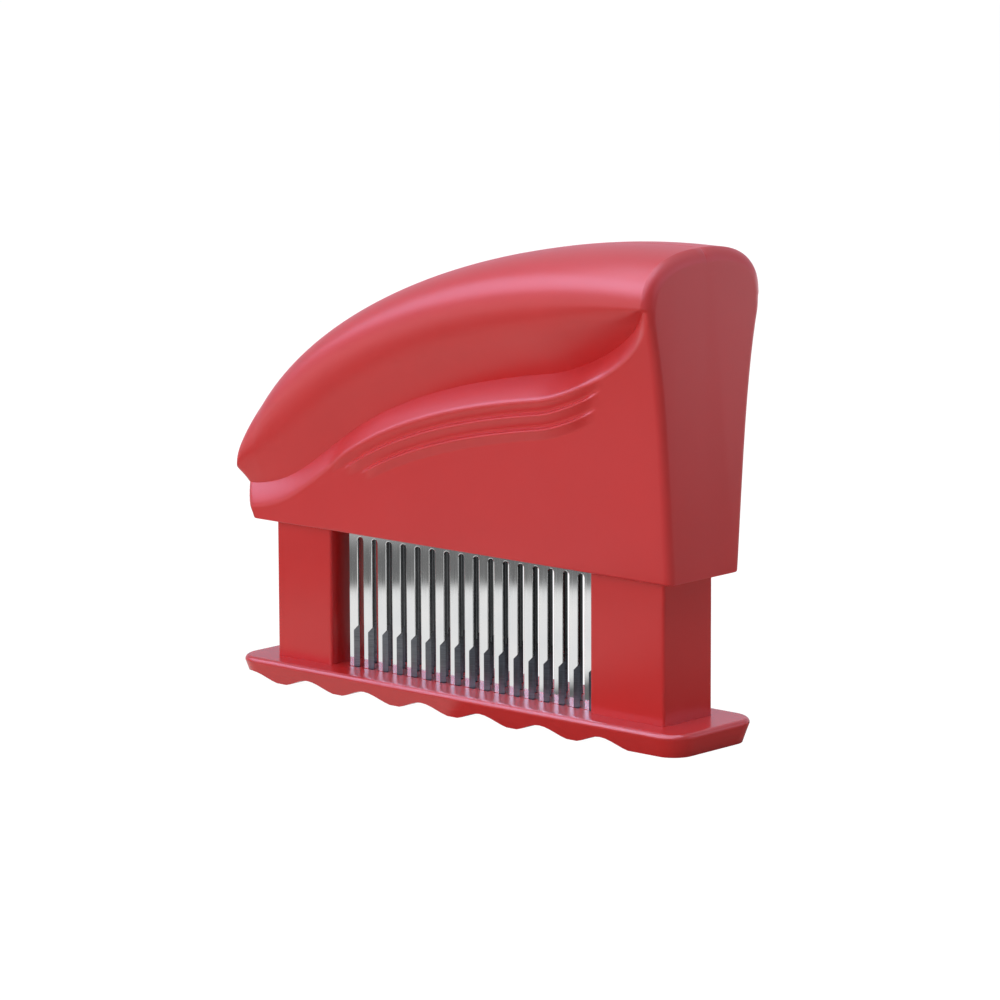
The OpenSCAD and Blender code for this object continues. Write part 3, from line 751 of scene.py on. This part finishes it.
        # the top ridge is the rolled lip of the ledge
        lip = self.ridge_size(x, 0)
        for s in self.RIDGE_STEPS[:5]:
            z = zl - k * s
            points.append([self.body_half(z) + self.bead(s) * lip, z])
        bend = mix(1.4, 1.05, ease((x - self.left) / 40))
        outer = self.body_half(zl) + lip
        shares = [0.14 + 0.86 * i / 14 for i in range(14)]
        ledge = [[mix(outer, wv, u**bend), mix(zl, zv, u)] for u in shares]
        # a rounding joins the lip to the ledge
        before, after, corner = points[-1], ledge[0], (outer, zl)
        for i in range(1, 8):
            t = i / 8
            a, b, c = (1 - t) ** 2, 2 * t * (1 - t), t * t
            points.append([a * before[j] + b * corner[j] + c * after[j] for j in (0, 1)])
        points += ledge
        points += [[mix(wv, wb, self.lean(u)), mix(zv, zw, u)] for u in ((i / 26) ** 1.1 for i in range(26))]
        points = [[max(0.2, w - self.inset(x, z)), z] for w, z in points]
        power = 2 / self.FULLNESS
        for i in range(37):
            a = math.pi / 2 * i / 36
            across, up = max(0.0, math.cos(a)) ** power, math.sin(a) ** power
            cut = self.inset(x, zw + rise * up)
            points.append([max(0.0, (wb - cut) * across), zw + (rise - cut) * up])
        # the nose's slanted end cuts the section off: the points below it go up to the cut
        heights = [z for _, z in points]
        end = self.bottom(x)
        cut_off = []
        for i, (_, z) in enumerate(points):
            z = max(z, end + 0.004 * i)
            k = min(max(bisect.bisect_left(heights, z), 1), len(points) - 1)
            (w0, z0), (w1, z1) = points[k - 1], points[k]
            cut_off.append([mix(w0, w1, clamp01((z - z0) / max(z1 - z0, 1e-9))), z])
        points = cut_off
        # a fine groove marks the parting line along the crest
        points[-1] = [0.0, points[-1][1] - self.parting]
        points[-2][0] = 1.2 * self.parting + 0.02
        return points

    @staticmethod
    def bead(s):
        """Shape of a ridge across: a short steep top side and a long flat lower side; s runs down."""
        if s > 2.5 or s < -0.9:
            return 0.0
        if s > 0.3:
            return 0.95 * (2.5 - s) / 2.2
        if s > -0.2:
            return 1 - 0.8 * (s - 0.05) ** 2
        return 0.95 * ease((s + 0.9) / 0.7)

    def stations(self):
        start, reach = self.nose + 0.05, 2.45
        inner = [mix(start, self.right - reach - 0.25, (i / 150) ** 1.35) for i in range(151)]
        creased = [self.right - reach, self.right - self.edge]
        outer = [self.right - self.edge * (1 - math.sin(math.pi / 2 * i / 14)) for i in range(1, 15)]
        return inner + creased + outer

    def half(self, side):
        """Closed half of the handle, -1 in front and 1 at the rear."""
        bm = bmesh.new()
        rows = []
        for x in self.stations():
            section = [[0.0, self.bottom(x)], *self.section(x)]
            rows.append([bm.verts.new((x, side * w, z)) for w, z in section])
        count = len(rows[0])
        for a, b in zip(rows, rows[1:]):
            for j in range(count):
                k = (j + 1) % count
                corners = [a[j], a[k], b[k], b[j]]
                if side > 0:
                    corners.reverse()
                bm.faces.new(corners)
        for row, flip in ((rows[0], side > 0), (rows[-1], side < 0)):
            bm.faces.new(list(reversed(row)) if flip else row)
        bmesh.ops.remove_doubles(bm, verts=bm.verts, dist=0.0005)
        bmesh.ops.dissolve_degenerate(bm, dist=0.0005, edges=bm.edges)
        bmesh.ops.recalc_face_normals(bm, faces=bm.faces)
        return bm


SCREW_SEAT_Y = 5.0  # where the shell screws' heads bear, behind the parting plane
SHELL_HEAD = (2.8, 2.0)  # radius and thickness of those heads
POST_HEAD = (3.3, 2.1)  # the same, of the post screws
BOLT_HEAD_RADIUS = 2.75  # of the cartridge bolts


def middle_x(node):
    """Middle of a CAD node along X, in millimetres."""
    low, high = cad_box(node)
    return (low.x + high.x) / 2


def bolt_axes():
    """Axes of the three cartridge bolts as (x, z), in millimetres."""
    low, high = cad_box("cartridge_bolts")
    first, last = low.x + BOLT_HEAD_RADIUS, high.x - BOLT_HEAD_RADIUS
    return [(x, (low.z + high.z) / 2) for x in (first, (first + last) / 2, last)]


def shell_screw_places(apart=7):
    """Axes of the shell screws as (x, z): the CAD screws' points in groups this far apart."""
    groups = []
    for v in frame["nodes"]["shell_screws"].data.vertices:
        p = v.co / MM
        for g in groups:
            if abs(g[0].x - p.x) < apart and abs(g[0].z - p.z) < apart:
                g.append(p)
                break
        else:
            groups.append([p])
    spans = [([p.x for p in g], [p.z for p in g]) for g in groups]
    return [((min(xs) + max(xs)) / 2, (min(zs) + max(zs)) / 2) for xs, zs in spans]


def moving_space(gap=0.3):
    """Room inside the handle for the posts, guide rods and blade cartridge.

    Cutters that open downwards reach 5 mm below the handle and 1 mm into the room above its floor.
    """
    lower = cad_box("handle_front")[0].z
    floor = cad_box("clamp_front")[0].z
    tools = []
    for side in ("left", "right"):
        low, high = cad_box(f"{side}_post")
        foot_low, foot_high = cad_box_below(f"{side}_post", lower)
        rod_low, rod_high = cad_box(f"{side}_guide_rod")
        x = middle_x(f"{side}_guide_rod")
        tools += [
            box_tool(low.x - gap, high.x + gap, low.y - gap, high.y + gap, floor, high.z + STROKE + gap),
            box_tool(
                foot_low.x - gap, foot_high.x + gap, foot_low.y - gap, foot_high.y + gap,
                lower - 5, floor + 1,
            ),
            rod_tool((x, 0, floor + 5), (x, 0, rod_high.z), (rod_high.x - rod_low.x) / 2 + 0.1),
        ]
    comb_low, comb_high = cad_box("comb_rear")
    half = cad_box("clamp_rear")[1].y + 0.1
    right_foot = cad_box_below("right_post", lower)[0]
    window = comb_high.y + 0.4
    tools += [
        box_tool(comb_low.x - gap, comb_high.x + gap, -half, half, floor, comb_high.z),
        box_tool(comb_low.x - gap, right_foot.x, -window, window, lower - 5, floor + 1),
    ]
    low, high = cad_box("cartridge_bolts")
    tools += [rod_tool((x, low.y - 0.4, z), (x, high.y + 0.7, z), 3.6) for x, z in bolt_axes()]
    return tools


class TENDERIZER_OT_handle(bpy.types.Operator):
    """Build the two moulded shells of the handle, with openings for the posts, blades and screws"""

    bl_idname = "tenderizer.handle"
    bl_label = "Handle shells"

    def execute(self, context):
        skin = HandleSkin(context.scene.tenderizer_handle)
        for name, side in (("handle_front", -1), ("handle_rear", 1)):
            shell = combine(skin.half(side), united(moving_space()), "DIFFERENCE")
            # the screws' blind holes in front, and their shank holes and counterbores at the rear
            if side < 0:
                profile = [(0, -8.6), (1.6, -8.6), (1.6, 1), (0, 1)]
            else:
                wide, seat = SHELL_HEAD[0] + 0.3, SCREW_SEAT_Y
                profile = [(0, -1), (1.65, -1), (1.65, seat), (wide, seat), (wide, 40), (0, 40)]
            holes = [
                moved(lathe(profile), Matrix.Translation((x, 0, z)) @ Matrix.Rotation(-math.pi / 2, 4, "X"))
                for x, z in shell_screw_places()
            ]
            shell = combine(shell, join(holes), "DIFFERENCE")
            if max(v.co.y for v in shell.verts) > skin.palm_width:
                raise RuntimeError(f"a cutter is left in {name}")
            # the handle's satin plastic
            colour = context.scene.tenderizer_handle.colour
            plastic = once(moulded_abs, "moulded_red_abs_handle", colour, 0.33, 0.39)
            piece = make_object(f"{name}_shell", shell, plastic, 32)
            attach(piece, "handle")
            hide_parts(name)
        return {"FINISHED"}


# ---------------------------------------------------------------- blades


def comb_outline(s, low, high, inset):
    """Outline of a comb in the X-Z plane, drawn in by inset on every side."""
    slot_r = s.slot_radius / MM
    blade_w = (high.x - low.x - (s.count - 1) * 2 * slot_r) / s.count
    pitch = blade_w + 2 * slot_r
    slope = s.tip_rise / MM / blade_w
    lift = inset * math.sqrt(1 + slope * slope)
    arc_z = s.slot_top / MM - slot_r
    radius = slot_r + inset
    points = [(low.x + inset, high.z - inset)]
    for i in range(s.count):
        x0 = low.x + i * pitch
        for x in (x0 + inset, x0 + blade_w - inset):
            points.append((x, low.z + slope * (x - x0) + lift))
        if i < s.count - 1:
            middle = x0 + blade_w + slot_r
            for k in range(15):
                a = math.pi * (1 - k / 14)
                points.append((middle + radius * math.cos(a), arc_z + radius * math.sin(a)))
    points.append((high.x - inset, high.z - inset))
    return points, pitch, blade_w


def comb_solid(s, low, high):
    """One stamped comb with broken edges and ground tips."""
    broken = s.edge_break / MM
    rings = []
    for y, inset in (
        (low.y, broken), (low.y + 0.3 * broken, 0.3 * broken), (low.y + broken, 0.0),
        (high.y - broken, 0.0), (high.y - 0.3 * broken, 0.3 * broken), (high.y, broken),
    ):
        points, pitch, blade_w = comb_outline(s, low, high, inset)
        rings.append([(x, y, z) for x, z in points])
    # a wedge in front of the right half of each blade, turned into it, cuts the ground facet
    height = s.grind_height / MM
    outline = ((0, -1), (blade_w, -1), (blade_w, height + blade_w), (0, height))
    turn = Matrix.Rotation(s.grind_angle, 4, "Z")
    wedges = []
    for i in range(s.count):
        middle = low.x + i * pitch + blade_w / 2
        wedge = tube([[(x, y, z) for x, z in outline] for y in (0, -1)])
        wedges.append(moved(wedge, Matrix.Translation((middle, low.y, low.z)) @ turn))
    return combine(tube(rings), join(wedges), "DIFFERENCE")


def drill(bm, node, radius, reach=1.0):
    """Drills the cartridge's bolt holes through a piece that spans the node's box."""
    low, high = cad_box(node)
    tools = [rod_tool((x, low.y - reach, z), (x, high.y + reach, z), radius) for x, z in bolt_axes()]
    return combine(bm, join(tools), "DIFFERENCE")


class TENDERIZER_OT_combs(bpy.types.Operator):
    """Build the three stamped and ground blade combs"""

    bl_idname = "tenderizer.combs"
    bl_label = "Blade combs"

    def execute(self, context):
        s = context.scene.tenderizer_blades
        for node, outside in (("comb_front", -1), ("comb_middle", 0), ("comb_rear", 1)):
            low, high = cad_box(node)
            bm = drill(comb_solid(s, low, high), node, 1.6)
            # a darker, rougher copy of the sheet: painted shade for the faces inside the pack
            dull = once(polished_stainless, "painted_shade_stainless_sheet", "#56585A", "#666869", 0.14, 0.22)
            piece = make_object(f"{node}_blades", bm, dull, 20)
            bright = once(polished_stainless, "polished_stainless_sheet", "#ECEEEF", "#F6F6F5", 0.05, 0.1)
            piece.data.materials.append(bright)
            piece.data.materials.append(once(ground_stainless))
            # The faces inside the pack, and all of the middle comb, get the darker, rougher copy: painted
            # shade for the shade between the combs. The outward faces get the bright copy.
            # The ground facets are the wide faces that the wedges have turned away from the sheet.
            facet = Vector((math.sin(s.grind_angle), -math.cos(s.grind_angle), 0))
            for face in piece.data.polygons:
                if face.normal.dot(facet) > 0.999 and face.area > 5 * MM * MM:
                    face.material_index = 2
                elif outside * face.normal.y > 0.3:
                    face.material_index = 1
            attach(piece, "handle")
            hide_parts(node)
        return {"FINISHED"}


class TENDERIZER_OT_cartridge(bpy.types.Operator):
    """Finish the bars, bolts and nuts that hold the combs together"""

    bl_idname = "tenderizer.cartridge"
    bl_label = "Blade cartridge"

    def execute(self, context):
        coat(once(moulded_acetal), "spacer_front", "spacer_rear")
        coat(once(rolled_stainless_bar), "clamp_front", "clamp_rear")
        coat(once(zinc_plated_steel), "cartridge_bolts", "cartridge_nuts")
        return {"FINISHED"}


# ---------------------------------------------------------------- guard


class TENDERIZER_OT_guard(bpy.types.Operator):
    """Finish the slotted base plate and the two posts"""

    bl_idname = "tenderizer.guard"
    bl_label = "Guard plate and posts"

    def execute(self, context):
        # the guard comes from a better polished tool than the handle
        colour = context.scene.tenderizer_guard.colour
        plastic = once(moulded_abs, "moulded_red_abs_guard", colour, 0.21, 0.27)
        coat(plastic, "base_plate", "left_post", "right_post")
        return {"FINISHED"}


class TENDERIZER_OT_springs(bpy.types.Operator):
    """Build the two coil springs"""

    bl_idname = "tenderizer.springs"
    bl_label = "Springs"

    def execute(self, context):
        s = context.scene.tenderizer_guard
        wire = s.wire / MM
        steps, sides = 28, 12  # rings in a turn, and corners of a ring
        total = s.spring_turns * steps
        up = Vector((0, 0, 1))
        corners = [2 * math.pi * k / sides for k in range(sides)]
        for side in ("left", "right"):
            low, high = cad_box(f"{side}_spring")
            middle = (low + high) / 2
            radius = (high.x - low.x - wire) / 2
            z0, z1 = low.z + wire / 2, high.z - wire / 2
            rings = []
            for i in range(total + 1):
                a = 2 * math.pi * i / steps
                out = Vector((math.cos(a), math.sin(a), 0))
                # the coils rise evenly from end to end
                centre = Vector((middle.x, middle.y, mix(z0, z1, i / total))) + radius * out
                rings.append([centre + wire / 2 * (math.cos(b) * out + math.sin(b) * up) for b in corners])
            piece = make_object(f"{side}_coil_spring", tube(rings), once(drawn_spring_wire), 40)
            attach(piece, "guard")
            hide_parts(f"{side}_spring")
            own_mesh(piece)
        return {"FINISHED"}


class TENDERIZER_OT_guide_rods(bpy.types.Operator):
    """Finish the headed rods that guide the springs"""

    bl_idname = "tenderizer.guide_rods"
    bl_label = "Guide rods"

    def execute(self, context):
        coat(once(moulded_acetal), "left_guide_rod", "right_guide_rod")
        return {"FINISHED"}


def pan_head_screw(shank, head, thickness, length):
    """A screw along +Z with its head on top, a domed rim and a cross recess; z = 0 is the seat."""
    rim = 0.35 * thickness  # height of the head's upright rim
    profile = [(0, -length), (0.6 * shank, -length), (shank, -length + 0.4 * shank), (shank, 0)]
    profile += [(head, 0), (head, rim)]
    for i in range(1, 9):
        a = math.pi / 2 * i / 8
        profile.append((mix(0.45 * head, head, math.cos(a)), mix(rim, thickness, math.sin(a))))
    profile.append((0, thickness))
    # an arm of the recess as (half length, half width, height), at its top and at its floor
    wide, deep = 0.62 * head, 0.55 * thickness
    ends = (wide, 0.34, thickness + 0.2), (0.45 * wide, 0.26, thickness - deep)
    cross = []
    for turn in (0, math.pi / 2):
        arm = tube([[(-x, -y, z), (x, -y, z), (x, y, z), (-x, y, z)] for x, y, z in ends])
        cross.append(moved(arm, Matrix.Rotation(turn + 0.3, 4, "Z")))
    return combine(lathe(profile), united(cross), "DIFFERENCE")


class TENDERIZER_OT_screws(bpy.types.Operator):
    """Build the screws of the shells and of the posts, with domed heads and cross recesses"""

    bl_idname = "tenderizer.screws"
    bl_label = "Screws"

    def execute(self, context):
        steel = once(zinc_plated_steel)
        parts = []
        low = cad_box("shell_screws")[0]
        for x, z in shell_screw_places():
            screw = pan_head_screw(1.5, *SHELL_HEAD, SCREW_SEAT_Y - low.y)
            place = Matrix.Translation((x, SCREW_SEAT_Y, z)) @ Matrix.Rotation(-math.pi / 2, 4, "X")
            parts.append(moved(screw, place))
        piece = make_object("shell_screw_set", join(parts), steel, 30)
        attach(piece, "handle")
        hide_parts("shell_screws")
        parts = []
        low, high = cad_box("post_screws")
        seat = low.z + POST_HEAD[1]
        for side in ("left", "right"):
            screw = pan_head_screw(1.75, *POST_HEAD, high.z - seat)
            x = middle_x(f"{side}_guide_rod")
            place = Matrix.Translation((x, 0, seat)) @ Matrix.Rotation(math.pi, 4, "X")
            parts.append(moved(screw, place))
        piece = make_object("post_screw_pair", join(parts), steel, 30)
        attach(piece, "guard")
        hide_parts("post_screws")
        return {"FINISHED"}


# ---------------------------------------------------------------- studio


def direct_view(tree):
    """The light path node, and a switch that is on for what the camera sees, also through glass."""
    path = add_node(tree, "ShaderNodeLightPath")
    seen = add_node(
        tree, "ShaderNodeMath",
        {0: path.outputs["Is Camera Ray"], 1: path.outputs["Is Transmission Ray"]}, operation="MAXIMUM",
    )
    return path, seen


def white_card():
    """Matt pale card: white to the camera, with the object's soft shadow.

    Glossy surfaces don't see that white. They see a painted reflection: a glowing pattern of
    painted light and dark rings, which gives the blades a dark top and a white middle.
    """
    material, tree, place = new_material("white_card_with_painted_reflection")
    path, seen = direct_view(tree)
    # a fibre grain of 1.5 mm breaks up the card's tone a little
    fibre = add_node(tree, "ShaderNodeTexNoise", grains(place, 1.5, 2.0))
    tone = add_node(tree, "ShaderNodeValToRGB", {"Fac": fibre}, between("#D9D9D9", "#DDDDDD"))
    card = add_node(tree, "ShaderNodeBsdfDiffuse", {"Color": tone})
    # the camera sees 12 % of the lit card, which keeps the shadow, and plain white for the rest
    white = add_node(tree, "ShaderNodeEmission", {"Color": grey(1), "Strength": 1.13})
    share = add_node(tree, "ShaderNodeMath", {0: seen, 1: 0.88}, operation="MULTIPLY")
    both = add_node(tree, "ShaderNodeMixShader", {0: share, 1: card, 2: white})
    # painted light and shade in rings around the object, by distance in metres: a painted pool of light, a
    # painted dark gap, a painted lit floor beyond
    distance = add_node(tree, "ShaderNodeVectorMath", {0: place}, operation="LENGTH").outputs["Value"]
    rings = add_node(
        tree, "ShaderNodeValToRGB", {"Fac": distance},
        [(0.17, grey(0.38)), (0.182, grey(0.07)), (0.235, grey(0.07)), (0.27, grey(0.22)),
         (0.5, grey(0.22)), (0.65, (0.92, 0.92, 1.0, 1.0))],
    )
    # painted shade over the front right, so that the right end and the ground tips stay dark in their
    # reflections
    painted_shade = add_node(
        tree, "ShaderNodeValToRGB", {"Fac": distance},
        [(0.12, grey(0.07)), (0.16, grey(0.14)), (0.3, grey(0.14)), (0.4, grey(0.1))],
    )
    way = add_node(tree, "ShaderNodeVectorMath", {0: place}, operation="NORMALIZE")
    towards = add_node(
        tree, "ShaderNodeVectorMath", {0: way, 1: (0.906, -0.423, 0.0)}, operation="DOT_PRODUCT"
    ).outputs["Value"]
    side = add_node(tree, "ShaderNodeMapRange", {"Value": towards, "From Min": 0.25, "From Max": 0.45})
    # sockets 6 and 7 of a colour mix are its two colours, and output 2 is the result
    pattern = add_node(tree, "ShaderNodeMix", {0: side, 6: rings, 7: painted_shade}, data_type="RGBA")
    # the painted light and shade glow for glossy rays only, as a painted reflection
    painted_reflection_glow = add_node(tree, "ShaderNodeEmission", {"Color": pattern.outputs[2], "Strength": 2.2})
    out = add_node(tree, "ShaderNodeMixShader", {0: path.outputs["Is Glossy Ray"], 1: both, 2: painted_reflection_glow})
    # the card has no back, so that the object shows from under it too
    facing = add_node(tree, "ShaderNodeNewGeometry").outputs["Backfacing"]
    clear = add_node(tree, "ShaderNodeBsdfTransparent")
    sheet = add_node(tree, "ShaderNodeMixShader", {0: facing, 1: out, 2: clear})
    add_node(tree, "ShaderNodeOutputMaterial", {"Surface": sheet})
    return material


def direction(azimuth, elevation):
    """Unit vector from the object, by the angles round from the front and up."""
    a, e = azimuth, elevation
    return Vector((math.sin(a) * math.cos(e), -math.cos(a) * math.cos(e), math.sin(e)))


LIGHT_DISTANCE = 1.1
LIGHT_TARGET = Vector((0, 0, 0.07))  # about the middle of the object
FLOOR_RADIUS = 3000  # in millimetres, as the mesh tools take it


def soft_panel(name, azimuth, elevation, size, level, colour, shows=True, lights=True):
    """A rectangular soft light that faces the middle of the object.

    shows says whether glossy surfaces reflect it, lights whether it lights matt ones.
    """
    way = direction(math.radians(azimuth), math.radians(elevation))
    data = bpy.data.lights.new(name, "AREA")
    data.shape, data.size, data.size_y = "RECTANGLE", size[0], size[1]
    data.energy = level * math.pi * size[0] * size[1]
    data.color = linear(colour)[:3]
    light = bpy.data.objects.new(name, data)
    bpy.context.scene.collection.objects.link(light)
    light.location = LIGHT_TARGET + way * LIGHT_DISTANCE
    light.rotation_euler = way.to_track_quat("Z", "Y").to_euler()
    light.visible_glossy, light.visible_diffuse = shows, lights


class TENDERIZER_OT_studio(bpy.types.Operator):
    """Set up the white floor, the soft studio lights and the camera"""

    bl_idname = "tenderizer.studio"
    bl_label = "Studio"

    def execute(self, context):
        s = context.scene.tenderizer_studio
        scene = context.scene
        bm = bmesh.new()
        bmesh.ops.create_circle(bm, cap_ends=True, segments=96, radius=FLOOR_RADIUS)
        floor = make_object("studio_floor", bm, white_card())
        # a hair under the guard, so that the two never share a plane
        floor.location.z = -0.1 * MM

        world = bpy.data.worlds.new("soft_white_studio")
        scene.world = world
        world.use_nodes = True
        tree = world.node_tree
        tree.nodes.clear()
        path, seen = direct_view(tree)
        room = add_node(
            tree, "ShaderNodeBackground", {"Color": linear("#FAFAFA"), "Strength": s.world_level}
        )
        mirrored = add_node(
            tree, "ShaderNodeBackground", {"Color": linear("#D6E7FF"), "Strength": s.world_gloss}
        )
        soft = add_node(tree, "ShaderNodeMixShader", {0: path.outputs["Is Glossy Ray"], 1: room, 2: mirrored})
        white = add_node(tree, "ShaderNodeBackground", {"Color": grey(1), "Strength": 1.0})
        both = add_node(tree, "ShaderNodeMixShader", {0: seen, 1: soft, 2: white})
        add_node(tree, "ShaderNodeOutputWorld", {"Surface": both})

        # the softboxes light the matt side of the surfaces, the panels only show in their gloss
        for name, azimuth, elevation, size, level in (
            ("softbox_front", -15, 18, (1.0, 0.6), s.front_level),
            ("softbox_top", 0, 88, (1.2, 1.2), s.top_level),
            ("softbox_back", 150, 45, (0.9, 0.9), s.back_level),
            ("softbox_rear", 215, 25, (1.0, 0.7), s.rear_level),
        ):
            soft_panel(name, azimuth, elevation, size, level, "#FFFFFF", shows=False)
        for name, azimuth, elevation, size, level, colour in (
            ("panel_front_left", -60, 28, (0.8, 0.5), 4.2, "#C8D4FF"),
            ("panel_overhead", -2, 57, (2.0, 2.2), 5.4, "#D0DCFF"),
            ("panel_rear_right", 150, 45, (0.9, 0.9), 6.0, "#CCD8FF"),
            ("panel_right", 120, 12, (0.9, 0.4), 1.1, "#DCDCFF"),
        ):
            soft_panel(name, azimuth, elevation, size, level * s.gloss_level, colour, lights=False)

        back = direction(s.azimuth, s.elevation)
        right = Vector((math.cos(s.azimuth), math.sin(s.azimuth), 0))
        up = back.cross(right)
        across = right * math.cos(s.roll) + up * math.sin(s.roll)
        upward = up * math.cos(s.roll) - right * math.sin(s.roll)
        target = Vector(s.target)
        data = bpy.data.cameras.new("studio_camera")
        data.lens, data.sensor_width, data.clip_end = s.lens, 36.0, 20
        camera = bpy.data.objects.new("studio_camera", data)
        scene.collection.objects.link(camera)
        turn = Matrix((across, upward, back)).transposed().to_4x4()
        camera.matrix_world = Matrix.Translation(target + back * s.distance) @ turn
        scene.camera = camera
        scene.view_settings.view_transform = "Standard"
        return {"FINISHED"}


# ---------------------------------------------------------------- add-on


class TENDERIZER_PT_sidebar(bpy.types.Panel):
    """Sizes, colours and build steps of the tenderizer"""

    bl_idname = "TENDERIZER_PT_sidebar"
    bl_label = "Tenderizer"
    bl_space_type = "VIEW_3D"
    bl_region_type = "UI"
    bl_category = "Tenderizer"

    def draw(self, context):
        layout = self.layout
        for name, group in SETTINGS:
            box = layout.box()
            box.label(text=group.__doc__)
            for key in group.__annotations__:
                box.prop(getattr(context.scene, name), key)
        for operator in OPERATORS:
            layout.operator(operator.bl_idname)


OPERATORS = (
    TENDERIZER_OT_handle,
    TENDERIZER_OT_combs,
    TENDERIZER_OT_cartridge,
    TENDERIZER_OT_guard,
    TENDERIZER_OT_springs,
    TENDERIZER_OT_guide_rods,
    TENDERIZER_OT_screws,
    TENDERIZER_OT_studio,
)


def register():
    for name, group in SETTINGS:
        bpy.utils.register_class(group)
        setattr(bpy.types.Scene, name, bpy.props.PointerProperty(type=group))
    for operator in OPERATORS:
        bpy.utils.register_class(operator)
    bpy.utils.register_class(TENDERIZER_PT_sidebar)


def unregister():
    bpy.utils.unregister_class(TENDERIZER_PT_sidebar)
    for operator in reversed(OPERATORS):
        bpy.utils.unregister_class(operator)
    for name, group in reversed(SETTINGS):
        delattr(bpy.types.Scene, name)
        bpy.utils.unregister_class(group)


def main():
    register()
    for operator in OPERATORS:
        area, step = operator.bl_idname.split(".")
        getattr(getattr(bpy.ops, area), step)()


if __name__ == "__main__":
    main()
